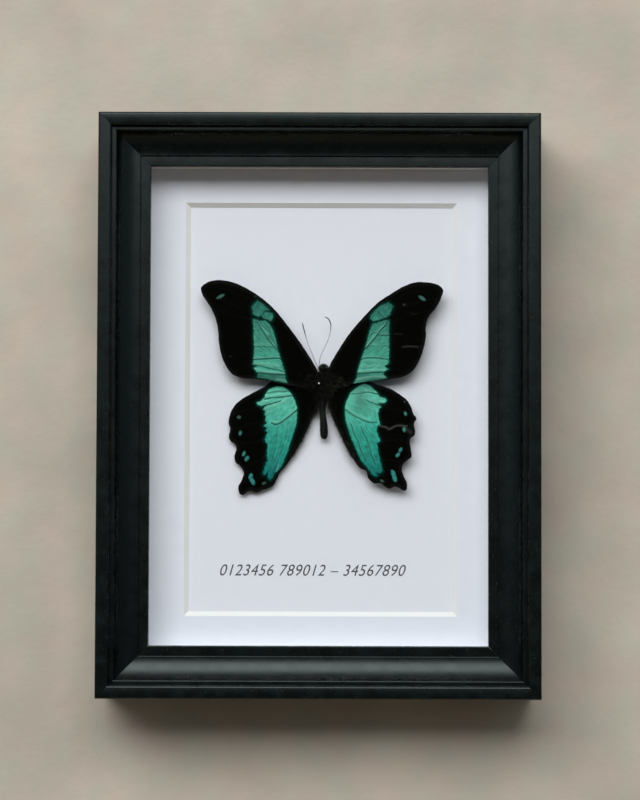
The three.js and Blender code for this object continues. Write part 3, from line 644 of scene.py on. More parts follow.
type_curve = bpy.data.curves.new("numerals", "FONT")
type_curve.body = NUMERALS
type_curve.shear = NUMERALS_SLANT
type_curve.size = 1.0
type_curve.space_character = NUMERALS_SPACING
setting = show(bpy.data.objects.new("numerals", type_curve))
bpy.context.view_layer.update()
numerals = show(bpy.data.objects.new("printed_numerals", bpy.data.meshes.new_from_object(
    setting.evaluated_get(bpy.context.evaluated_depsgraph_get()))))
bpy.data.objects.remove(setting)
corners = np.array([vertex.co for vertex in numerals.data.vertices])
low, high = corners.min(0), corners.max(0)
board_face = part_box("mount_board")[0].y
set_out = np.zeros_like(corners)
set_out[:, 0] = NUMERALS_LEFT + (corners[:, 0] - low[0]) * NUMERALS_WIDTH / (high[0] - low[0])
set_out[:, 1] = board_face - INK_GAP
set_out[:, 2] = NUMERALS_BASE + corners[:, 1] * NUMERALS_HEIGHT / high[1]
numerals.data.vertices.foreach_set("co", set_out.ravel())
work = bmesh.new()
work.from_mesh(numerals.data)
bmesh.ops.remove_doubles(work, verts=work.verts, dist=0.001 * MM)
pushed = bmesh.ops.extrude_face_region(work, geom=work.faces[:])
bmesh.ops.translate(work, vec=(0, -INK_THICKNESS, 0),
                    verts=[part for part in pushed["geom"] if isinstance(part, bmesh.types.BMVert)])
bmesh.ops.recalc_face_normals(work, faces=work.faces)
work.to_mesh(numerals.data)
work.free()

ink, tree, surface, _ = new_material("printing_ink", Specular_IOR_Level=0.2)
grain = use(tree, grain_group, Grain_size=INK_GRAIN)
dress(tree, surface, blend(tree, grain["Height"], rgb(*INK_DARK), rgb(*INK_FAINT)),
      span(tree, grain["Height"], *NOISE_RANGE, 0.6, 0.8))
numerals.data.materials.clear()
numerals.data.materials.append(ink)
fit(numerals, "mount_board")

# ---- Back panel and its tabs -------------------------------------------------------------
# A hardboard panel closes the box from behind. Six flat points of blued steel, driven into
# the rails, hold it down.

HARDBOARD_GRAIN = (0.5, 0.5, 0.5)
HARDBOARD_FIBRE = (3.0, 1.0, 0.9)
HARDBOARD_RELIEF = 0.05 * MM
HARDBOARD_DARK = (0.135, 0.068, 0.030)
HARDBOARD_LIGHT = (0.285, 0.165, 0.085)
BLUED_LIGHT = (0.085, 0.092, 0.105)
BLUED_SHADE = (0.045, 0.048, 0.056)
ROLLING_RELIEF = 0.008 * MM

hardboard, tree, surface, _ = new_material("hardboard", Specular_IOR_Level=0.3)
grain = use(tree, grain_group, Grain_size=HARDBOARD_GRAIN)
pulp = use(tree, grain_group, Grain_size=HARDBOARD_FIBRE)
tone = calc(tree, "ADD", calc(tree, "MULTIPLY", grain["Height"], 0.45),
            calc(tree, "MULTIPLY", pulp["Height"], 0.55))
brown = blend(tree, span(tree, tone, 0.35, 0.65), rgb(*HARDBOARD_DARK), rgb(*HARDBOARD_LIGHT))
dusty = use(tree, dust_group, Film=0.2, Specks=0.25)["Mask"]
dress(tree, surface, blend(tree, dusty, brown, rgb(*DUST)),
      span(tree, pulp["Mottle"], *NOISE_RANGE, 0.55, 0.75))
bump(tree, surface, tone, HARDBOARD_RELIEF)
finish_node("back_panel", hardboard)


def sheet_steel(name, light, shade, rough_low, rough_high, stretch):
    """Rolled steel: fine drawn lines one way, with a slow change of tone."""
    material, tree, surface, _ = new_material(name, Metallic=1.0)
    lines = use(tree, grain_group, Grain_size=stretch)
    tone = calc(tree, "ADD", calc(tree, "MULTIPLY", lines["Height"], 0.5),
                calc(tree, "MULTIPLY", lines["Mottle"], 0.5))
    dress(tree, surface, blend(tree, span(tree, tone, 0.38, 0.62), rgb(*shade), rgb(*light)),
          span(tree, tone, 0.35, 0.65, rough_high, rough_low))
    bump(tree, surface, lines["Height"], ROLLING_RELIEF)
    return material


blued_steel = sheet_steel("blued_steel", BLUED_LIGHT, BLUED_SHADE, 0.34, 0.5, (1.6, 1.6, 0.14))
for names in TABS.values():
    for name in names:
        finish_node(name, blued_steel)

# ---- Hanger ------------------------------------------------------------------------------
# A zinc-plated steel strip, bent up off the panel between its feet, with a row of teeth along
# its lower edge. Two domed rivets hold it to the panel.

ZINC_LIGHT = (0.62, 0.63, 0.64)
ZINC_SHADE = (0.44, 0.455, 0.47)
STAMPED_EDGE = 0.12 * MM
STAMPED_ANGLE = math.radians(30)  # edges sharper than this are rounded
RIVET_HEAD_RADIUS = 2 * MM
RIVET_SHANK_RADIUS = 1 * MM
RIVET_HEAD_HEIGHT = 0.9 * MM
RIVET_UNDERCUT = 0.97  # the head's underside against its widest radius

zinc = sheet_steel("zinc_plate", ZINC_LIGHT, ZINC_SHADE, 0.26, 0.42, (2.2, 2.2, 0.12))


def softened_copy(name, source, width):
    """A copy of a CAD piece, its loose triangles joined and its edges slightly rounded."""
    copy = show(bpy.data.objects.new(name, nodes[source].data.copy()))
    work = bmesh.new()
    work.from_mesh(copy.data)
    bmesh.ops.remove_doubles(work, verts=work.verts, dist=0.002 * MM)
    bmesh.ops.dissolve_limit(work, angle_limit=math.radians(1), verts=work.verts,
                             edges=work.edges)
    bmesh.ops.recalc_face_normals(work, faces=work.faces)
    work.to_mesh(copy.data)
    work.free()
    round_off = copy.modifiers.new("rounded", "BEVEL")
    round_off.width, round_off.segments = width, 2
    round_off.limit_method, round_off.angle_limit = "ANGLE", STAMPED_ANGLE
    settle(copy)
    copy.data.shade_smooth()
    copy.data.set_sharp_from_angle(angle=STAMPED_ANGLE)
    copy.data.materials.clear()
    return copy


hanger = softened_copy("hanging_strip", "sawtooth_hanger", STAMPED_EDGE)
hanger.data.materials.append(zinc)
fit(hanger, "hanger_zinc", "sawtooth_hanger")


def turned(name, profile, centre, steps):
    """A solid turned about an axis along Y: the profile is (radius, place along the axis)."""
    points, faces = [], []
    rings = []
    for radius, y in profile:
        if radius == 0:
            rings.append([len(points)])
            points.append((centre.x, y, centre.z))
            continue
        rings.append(list(range(len(points), len(points) + steps)))
        for i in range(steps):
            angle = 2 * math.pi * i / steps
            points.append((centre.x + radius * math.cos(angle), y,
                           centre.z + radius * math.sin(angle)))
    for one, other in zip(rings, rings[1:]):
        for i in range(steps):
            j = (i + 1) % steps
            face = [one[i % len(one)], one[j % len(one)], other[j % len(other)],
                    other[i % len(other)]]
            faces.append(tuple(dict.fromkeys(face)))
    return mesh_object(name, points, faces)


# The rivet tree sets one rivet at each of a row of places.
rivet_tree, given = geometry_tree("Row of rivets", {
    "Count": "Int", "First": "Vector", "Step": "Vector", "Material": "Material"})
row = add(rivet_tree, "GeometryNodeMeshLine", {
    "Count": given["Count"], "Start Location": given["First"], "Offset": given["Step"]})
set_rivets = add(rivet_tree, "GeometryNodeInstanceOnPoints",
                 {"Points": row.outputs[0], "Instance": given["Geometry"]})
close_tree(rivet_tree, set_rivets.outputs[0], given["Material"])

rivet_low, rivet_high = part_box("hanger_rivet_left")
rivet_left = (rivet_low + rivet_high) / 2
rivet_right = sum(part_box("hanger_rivet_right"), Vector()) / 2
head_base = rivet_high.y - RIVET_HEAD_HEIGHT
dome = [(RIVET_HEAD_RADIUS * math.cos(a), head_base + RIVET_HEAD_HEIGHT * math.sin(a))
        for a in np.linspace(0, math.pi / 2, 9)[:-1]]
rivets = turned("rivet_pair", [
    (0, rivet_low.y), (RIVET_SHANK_RADIUS, rivet_low.y), (RIVET_SHANK_RADIUS, head_base),
    (RIVET_HEAD_RADIUS * RIVET_UNDERCUT, head_base), *dome, (0, rivet_high.y)], Vector(), 28)
grow(rivets, rivet_tree, count=2, first=Vector((rivet_left.x, 0, rivet_left.z)),
     step=Vector((rivet_right.x - rivet_left.x, 0, 0)), material=zinc)
face_out(rivets, math.radians(50))
fit(rivets, "hanger_zinc", "hanger_rivet_left", "hanger_rivet_right")

# ---- Body --------------------------------------------------------------------------------
# The dried insect's trunk in one skin: a thick thorax between the wing roots and a slim
# abdomen of seven rings that tapers to a blunt tip. Black chitin under a coat of hair.

PIN_LOW, PIN_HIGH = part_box("specimen_pin")
PIN = (PIN_LOW + PIN_HIGH) / 2  # plan measures of the specimen run from here, in millimetres
BODY_X = 1.7
BODY_SIDES = 56
BODY_STEPS = 150
ABDOMEN_ROOT, ABDOMEN_TIP = -4.6, -19.8
ABDOMEN_RINGS = 7
RING_PINCH = 0.07  # how much the skin draws in between two rings
RING_SEAM = 0.13  # a seam's half width, against a ring's length
CHITIN_GRAIN = (0.3, 0.3, 0.3)
CHITIN_RELIEF = 0.03 * MM
CHITIN_DARK = (0.0014, 0.0016, 0.0020)
CHITIN_LIGHT = (0.0036, 0.0038, 0.0046)

# From the neck to the tip: [x, z, height off the wall, half width, half depth].
TRUNK = [
    [1.65, 4.75, 16.2, 0.5, 0.5], [1.65, 4.3, 16.2, 1.35, 1.25], [1.7, 3.0, 16.1, 2.35, 2.0],
    [1.7, 1.2, 16.0, 3.05, 2.6], [1.7, -0.6, 16.0, 3.35, 2.8], [1.7, -2.4, 16.0, 3.0, 2.55],
    [1.65, -3.8, 16.05, 2.35, 2.15], [1.55, -5.0, 16.1, 1.75, 1.85], [1.4, -6.4, 16.1, 1.35, 1.5],
    [1.25, -8.4, 16.0, 1.12, 1.2], [1.3, -10.4, 15.9, 1.1, 1.15], [1.5, -12.4, 15.8, 1.17, 1.2],
    [1.7, -14.4, 15.7, 1.3, 1.3], [1.8, -16.4, 15.6, 1.38, 1.35], [1.85, -18.1, 15.5, 1.27, 1.2],
    [1.85, -19.2, 15.4, 0.95, 0.9], [1.85, -19.7, 15.4, 0.45, 0.4],
]


def from_pin(x, z, height):
    """A point in metres from plan measures in millimetres."""
    return (PIN.x + x * MM, -height * MM, PIN.z + z * MM)


def smooth_path(points, closed, per_span=12):
    """A centripetal Catmull-Rom curve through the points."""
    points = np.asarray(points, float)
    if closed:
        ring = np.vstack([points[-1:], points, points[:2]])
    else:
        ring = np.vstack([2 * points[0] - points[1], points, 2 * points[-1] - points[-2]])
    share = np.linspace(0, 1, per_span, endpoint=False)[:, None]
    spans = []
    for before, here, there, after in zip(ring, ring[1:], ring[2:], ring[3:]):
        gaps = [max(np.linalg.norm(b - a) ** 0.5, 1e-4)
                for a, b in ((before, here), (here, there), (there, after))]
        leave = ((here - before) / gaps[0] - (there - before) / (gaps[0] + gaps[1])
                 + (there - here) / gaps[1]) * gaps[1]
        arrive = ((there - here) / gaps[1] - (after - here) / (gaps[1] + gaps[2])
                  + (after - there) / gaps[2]) * gaps[1]
        spans.append(here + leave * share
                     + (3 * (there - here) - 2 * leave - arrive) * share ** 2
                     + (2 * (here - there) + leave + arrive) * share ** 3)
    if not closed:
        spans.append(points[-1:])
    return np.vstack(spans)


def even_steps(path, count, closed=False):
    """The same path in equal steps."""
    if closed:
        path = np.vstack([path, path[:1]])
    walked = np.concatenate([[0], np.cumsum(np.linalg.norm(np.diff(path, axis=0), axis=1))])
    marks = np.linspace(0, walked[-1], count, endpoint=not closed)
    return np.stack([np.interp(marks, walked, column) for column in path.T], axis=1)


def skin(name, rings, poles):
    """A closed skin over equal rings of points, with a pole at each end."""
    count = len(rings[0])
    points = [point for ring in rings for point in ring] + list(poles)
    faces = []
    for i in range(len(rings) - 1):
        for j in range(count):
            k = (j + 1) % count
            faces.append((i * count + j, i * count + k, (i + 1) * count + k, (i + 1) * count + j))
    last = (len(rings) - 1) * count
    for j in range(count):
        k = (j + 1) % count
        faces.append((len(points) - 2, k, j))
        faces.append((len(points) - 1, last + j, last + k))
    return mesh_object(name, points, faces)


stations = even_steps(smooth_path(TRUNK, False), BODY_STEPS)
ring_phase = (stations[:, 1] - ABDOMEN_ROOT) / (ABDOMEN_TIP - ABDOMEN_ROOT) * ABDOMEN_RINGS
on_abdomen = np.clip((ABDOMEN_ROOT - stations[:, 1]) / 0.6, 0, 1)
pinch = 1 - RING_PINCH * on_abdomen * np.exp(-((ring_phase - np.round(ring_phase)) / RING_SEAM) ** 2)
turn = np.linspace(0, 2 * math.pi, BODY_SIDES, endpoint=False)
body_rings = [
    [from_pin(x + half_width * shrink * math.cos(a), z,
              height + half_depth * shrink * math.sin(a)) for a in turn]
    for (x, z, height, half_width, half_depth), shrink in zip(stations, pinch)
]
trunk = skin("butterfly_trunk", body_rings, [
    from_pin(stations[0][0], stations[0][1] + 0.1, stations[0][2]),
    from_pin(stations[-1][0], stations[-1][1] - 0.05, stations[-1][2])])

chitin, tree, surface, _ = new_material("chitin", Specular_IOR_Level=0.12)
grain = use(tree, grain_group, Grain_size=CHITIN_GRAIN)
dress(tree, surface, blend(tree, span(tree, grain["Mottle"], 0.35, 0.65), rgb(*CHITIN_DARK),
                           rgb(*CHITIN_LIGHT)),
      span(tree, grain["Height"], *NOISE_RANGE, 0.5, 0.75))
bump(tree, surface, grain["Height"], CHITIN_RELIEF)
trunk.data.materials.append(chitin)
face_out(trunk, math.radians(80))
fit(trunk, "body_hair", "butterfly_body")

# ---- Head --------------------------------------------------------------------------------
# A small round head with two large compound eyes at its sides and a pair of short furry
# palps in front. The eyes are dark and glossy, and their lenses show as a fine net.

HEAD = {"x": 1.6, "z": 5.4, "height": 16.2, "radius": 1.5}
EYE = {"out": 1.12, "forward": 0.3, "radii": (0.8, 1.05, 0.95)}
PALP = {"out": 0.4, "forward": 1.1, "drop": 0.6, "radii": (0.34, 0.7, 0.6)}
LENSES_PER_METRE = 16000.0
LENS_RISE = 0.01 * MM
LENS_BROWN = (0.030, 0.020, 0.012)
LENS_DARK = (0.008, 0.006, 0.005)


def eggs(name, centres, radii, fineness):
    """Egg-shaped solids of the same size, in one mesh."""
    work = bmesh.new()
    for centre in centres:
        made = bmesh.ops.create_icosphere(work, subdivisions=fineness, radius=1.0)
        place = Matrix.Translation(from_pin(*centre)) @ Matrix.Diagonal(
            (*(radius * MM for radius in radii), 1))
        bmesh.ops.transform(work, matrix=place, verts=made["verts"])
    mesh = bpy.data.meshes.new(name)
    work.to_mesh(mesh)
    work.free()
    mesh.shade_smooth()
    return show(bpy.data.objects.new(name, mesh))


head = eggs("butterfly_head", [(HEAD["x"], HEAD["z"], HEAD["height"])], (HEAD["radius"],) * 3, 4)
palps = eggs("palps", [
    (HEAD["x"] + side * PALP["out"], HEAD["z"] + PALP["forward"], HEAD["height"] - PALP["drop"])
    for side in (-1, 1)], PALP["radii"], 4)
eyes = eggs("compound_eyes", [
    (HEAD["x"] + side * EYE["out"], HEAD["z"] + EYE["forward"], HEAD["height"])
    for side in (-1, 1)], EYE["radii"], 5)

lens, tree, surface, _ = new_material("eye_lenses", Specular_IOR_Level=0.5, Coat_Weight=0.3)
place = add(tree, "ShaderNodeTexCoord").outputs["Object"]
facets = add(tree, "ShaderNodeTexVoronoi", {"Vector": place, "Scale": LENSES_PER_METRE})
from_lens = facets.outputs["Distance"]
dress(tree, surface,
      blend(tree, span(tree, from_lens, 0.1, 0.6), rgb(*LENS_BROWN), rgb(*LENS_DARK)),
      span(tree, from_lens, 0.2, 0.7, 0.16, 0.34))
bump(tree, surface, from_lens, -LENS_RISE)
eyes.data.materials.append(lens)
for piece in (head, palps):
    piece.data.materials.append(chitin)
    fit(piece, "body_hair")
fit(eyes, "body_hair")

# ---- Hair --------------------------------------------------------------------------------
# The thorax and the head carry long soft hair that lies back towards the tail, and spreads
# over the wing roots. The abdomen's is short and close. Each hair is a fine bent bristle.

FUR_SEED = 11
PER_MM2 = 1e6
THORAX_END = -5.0
HAIR_GRAIN = (0.14, 0.14, 0.14)
HAIR_BLACK = (0.0010, 0.0015, 0.0007)
HAIR_GLINT_GREY = (0.030, 0.033, 0.020)

# The coat tree scatters bent bristles over a skin and combs them one way.
coat_tree, given = geometry_tree("Coat of hair", {
    "Density": "Float", "Length": "Float", "Thickness": "Float", "Stand": "Float",
    "Comb": "Vector", "Stray": "Float", "Seed": "Int", "Material": "Material"})
bristle = add(coat_tree, "GeometryNodeMeshCone", {
    "Vertices": 3, "Side Segments": 3, "Radius Top": 0.18, "Radius Bottom": 1.0, "Depth": 1.0},
    fill_type="NGON")
along = add(coat_tree, "ShaderNodeSeparateXYZ",
            {0: add(coat_tree, "GeometryNodeInputPosition").outputs[0]}).outputs["Z"]
curl = add(coat_tree, "ShaderNodeCombineXYZ", {
    "X": calc(coat_tree, "MULTIPLY", calc(coat_tree, "POWER", along, 2.0), 5.0)})
curled = add(coat_tree, "GeometryNodeSetPosition",
             {"Geometry": bristle.outputs["Mesh"], "Offset": curl.outputs[0]})
scatter = add(coat_tree, "GeometryNodeDistributePointsOnFaces", {
    "Mesh": given["Geometry"], "Density": given["Density"], "Seed": given["Seed"]})
stray = add(coat_tree, "FunctionNodeRandomValue", {
    "Min": (-1, -1, -1), "Max": (1, 1, 1), "Seed": given["Seed"]}, data_type="FLOAT_VECTOR")
pushed = add(coat_tree, "ShaderNodeVectorMath", {
    0: stray.outputs["Value"], "Scale": given["Stray"]}, operation="SCALE").outputs[0]
risen = add(coat_tree, "ShaderNodeVectorMath", {
    0: scatter.outputs["Normal"], "Scale": given["Stand"]}, operation="SCALE").outputs[0]
combed = add(coat_tree, "ShaderNodeVectorMath", {0: risen, 1: given["Comb"]}).outputs[0]
lie = add(coat_tree, "ShaderNodeVectorMath", {0: combed, 1: pushed}).outputs[0]
facing = add(coat_tree, "FunctionNodeAlignRotationToVector", {"Vector": lie}, axis="Z")
grown_share = add(coat_tree, "FunctionNodeRandomValue",
                  {2: 0.45, 3: 1.15, "Seed": given["Seed"]}, data_type="FLOAT").outputs[1]
size = add(coat_tree, "ShaderNodeCombineXYZ", {
    "X": given["Thickness"], "Y": given["Thickness"],
    "Z": calc(coat_tree, "MULTIPLY", given["Length"], grown_share)})
planted = add(coat_tree, "GeometryNodeInstanceOnPoints", {
    "Points": scatter.outputs["Points"], "Instance": curled.outputs[0],
    "Rotation": facing.outputs[0], "Scale": size.outputs[0]})
close_tree(coat_tree, planted.outputs[0], given["Material"])

hair, tree, surface, _ = new_material("insect_hair", Specular_IOR_Level=0.1)
grain = use(tree, grain_group, Grain_size=HAIR_GRAIN)
# grey flecks in the black hair are painted highlights where its strands catch the light
dress(tree, surface,
      blend(tree, span(tree, grain["Mottle"], 0.50, 0.68), rgb(*HAIR_BLACK), rgb(*HAIR_GLINT_GREY)),
      span(tree, grain["Mottle"], *NOISE_RANGE, 0.55, 0.75))


def coat(name, wearer, keep, **values):
    """Hair over the part of a skin whose points pass a test."""
    bare = show(bpy.data.objects.new(name, wearer.data.copy()))
    work = bmesh.new()
    work.from_mesh(bare.data)
    bmesh.ops.delete(work, context="FACES", geom=[
        face for face in work.faces if not keep((face.calc_center_median() - PIN) / MM)])
    work.to_mesh(bare.data)
    work.free()
    grow(bare, coat_tree, seed=FUR_SEED, material=hair, **values)
    return fit(bare, "body_hair")


coat("thorax_hair", trunk, lambda p: p.z > THORAX_END, density=34 * PER_MM2, length=2.1 * MM,
     thickness=0.045 * MM, stand=0.8, comb=Vector((0, -0.1, -0.6)), stray=0.5)
coat("abdomen_hair", trunk, lambda p: p.z <= ABDOMEN_ROOT, density=17 * PER_MM2, length=0.55 * MM,
     thickness=0.028 * MM, stand=0.35, comb=Vector((0, 0, -0.9)), stray=0.25)
coat("head_hair", head, lambda p: True, density=30 * PER_MM2, length=0.75 * MM,
     thickness=0.03 * MM, stand=0.9, comb=Vector((0, -0.1, -0.1)), stray=0.4)
coat("palp_hair", palps, lambda p: True, density=34 * PER_MM2, length=0.45 * MM,
     thickness=0.026 * MM, stand=0.8, comb=Vector((0, -0.1, 0.5)), stray=0.3)

# ---- Antennae and legs -------------------------------------------------------------------
# Two thin jointed antennae that end in a club, and six slender legs folded under the thorax.
# All are slender rods of chitin; each follows its own path from its socket.

# [x, z, height off the wall], from the root to the tip.
ANTENNAE = {
    "left": [
        [0.1, 5.5, 17.6], [-1.0, 6.9, 17.9], [-2.9, 11.6, 18.5], [-4.0, 14.1, 18.7],
        [-5.1, 17.9, 18.7], [-6.1, 21.8, 18.3],
    ],
    "right": [
        [1.1, 6.3, 17.8], [0.2, 7.2, 18.1], [0.6, 9.9, 18.6], [1.6, 12.1, 18.8],
        [2.8, 14.7, 18.9], [3.6, 16.9, 18.9], [4.1, 19.6, 18.8], [4.1, 21.3, 18.6],
        [3.2, 23.2, 18.5], [1.8, 24.0, 18.3],
    ],
}
ANTENNA_RADIUS = 0.075
CLUB_RADIUS = 0.2
ANTENNA_JOINTS = 34

# One side's legs: [x from the body's middle, z, height off the wall].
LEGS = [
    [[0.9, 2.6, 14.2], [2.4, 4.2, 13.7], [1.8, 1.4, 13.3], [1.3, -0.6, 13.1]],
    [[0.9, 0.2, 14.0], [2.8, -1.2, 13.6], [2.1, -4.4, 13.3], [1.8, -6.4, 13.1]],
    [[0.8, -2.4, 14.2], [2.4, -5.0, 13.7], [1.6, -8.6, 13.4], [1.4, -10.8, 13.2]],
]
LEG_RADIUS = 0.24
LEG_TAPER = 0.45
HORN_GRAIN = (0.25, 0.25, 0.25)
HORN_DARK = (0.010, 0.009, 0.009)
HORN_LIGHT = (0.045, 0.040, 0.040)

# The limb tree runs a jointed tube along a path, thinner or thicker towards its end.
limb_tree, given = geometry_tree("Jointed limb", {
    "Steps": "Int", "Root radius": "Float", "End radius": "Float", "Swell from": "Float",
    "Swell to": "Float", "Joints": "Float", "Material": "Material"})
path = add(limb_tree, "GeometryNodeResampleCurve", {
    "Curve": add(limb_tree, "GeometryNodeMeshToCurve", {"Mesh": given["Geometry"]}).outputs[0],
    "Count": given["Steps"]})
gone = add(limb_tree, "GeometryNodeSplineParameter").outputs["Factor"]
swell = span(limb_tree, gone, given["Swell from"], given["Swell to"], smooth=True)
blunt = span(limb_tree, gone, 0.95, 1.0, 1.0, 0.35, smooth=True)
knuckle = calc(limb_tree, "MULTIPLY", calc(limb_tree, "SINE", calc(
    limb_tree, "MULTIPLY", calc(limb_tree, "MULTIPLY", gone, given["Joints"]), 2 * math.pi)), 0.07)
radius = calc(
    limb_tree, "MULTIPLY",
    calc(limb_tree, "MULTIPLY", add(limb_tree, "ShaderNodeMix", {
        0: swell, 2: given["Root radius"], 3: given["End radius"]}).outputs[0], blunt),
    calc(limb_tree, "ADD", knuckle, 1.0))
round_section = add(limb_tree, "GeometryNodeCurvePrimitiveCircle", {"Resolution": 12, "Radius": 1.0})
tube = add(limb_tree, "GeometryNodeCurveToMesh", {
    "Curve": path.outputs[0], "Profile Curve": round_section.outputs[0], "Scale": radius,
    "Fill Caps": True})
close_tree(limb_tree, tube.outputs[0], given["Material"])

horn, tree, surface, _ = new_material("antenna_horn", Specular_IOR_Level=0.4)
grain = use(tree, grain_group, Grain_size=HORN_GRAIN)
dress(tree, surface, blend(tree, grain["Height"], rgb(*HORN_DARK), rgb(*HORN_LIGHT)),
      span(tree, grain["Height"], *NOISE_RANGE, 0.4, 0.6))


def limb(name, paths, material, **values):
    """Jointed tubes along paths in plan measures, in one mesh."""
    points, edges = [], []
    for route in paths:
        smooth = smooth_path(route, False, 16)
        edges += [(len(points) + i, len(points) + i + 1) for i in range(len(smooth) - 1)]
        points += [from_pin(*point) for point in smooth]
    obj = mesh_object(name, points, [], edges)
    grow(obj, limb_tree, material=material, **values)
    return face_out(obj, math.radians(70))


for side, route in ANTENNAE.items():
    antenna = limb(f"jointed_antenna_{side}", [route], horn, steps=4 * ANTENNA_JOINTS,
                   root_radius=ANTENNA_RADIUS * MM, end_radius=CLUB_RADIUS * MM, swell_from=0.62,
                   swell_to=0.86, joints=float(ANTENNA_JOINTS))
    fit(antenna, "antenna_horn", f"antenna_{side}")
folded = [[(BODY_X + side * x, z, height) for x, z, height in route]
          for side in (-1, 1) for route in LEGS]
legs = limb("folded_legs", folded, horn, steps=40, root_radius=LEG_RADIUS * MM,
            end_radius=LEG_RADIUS * LEG_TAPER * MM, swell_from=0.1, swell_to=0.95, joints=5.0)
fit(legs, "body_hair")

# ---- Wings -------------------------------------------------------------------------------
# Four dry membranes stiffened by veins and covered in scales, set flat with the forewings
# over the hindwings. Black scales carry patches of green, with pleats along the veins; shade
# is painted into the folds and highlights along the pleats.

FOREWING_HEIGHT = 17.1
HINDWING_HEIGHT = 16.1
WING_MIDDLE_THICKNESS = 0.3
WING_EDGE_THICKNESS = 0.12
GRID = 0.23  # between two points of a wing's mesh
EDGE_STEPS = 640
EDGE_NICK = 0.07
NICK_WAVES = ((37, 0.4), (83, 0.35), (151, 0.25))  # waves around the edge, and their share
EDGE_TAPER = 2.0  # over which a wing thins and flattens towards its edge
MASK_REACH = 3.0
SPAN_REACH = 46  # from the body to a forewing's far end
LIFT_CURVE = 0.55
VEIN_HALF_WIDTH = 0.2
VEIN_RISE = 0.10
PLEAT_RISE = 0.17
FOLD_DEPTH = 0.16
FOLD_CREST = (-0.12, 0.46)  # where a painted highlight runs beside a fold, on its side towards the light
CREST_SHARE = 0.6
FOLD_NARROWNESS = 0.75
FOLD_DARKENING = 1.2
ROOT_HAIR_REACH = 9.5
INNER_MARGIN = [(1.9, -4), (2.0, -9), (4.0, -13), (6.0, -17), (8.1, -21), (10.4, -25)]
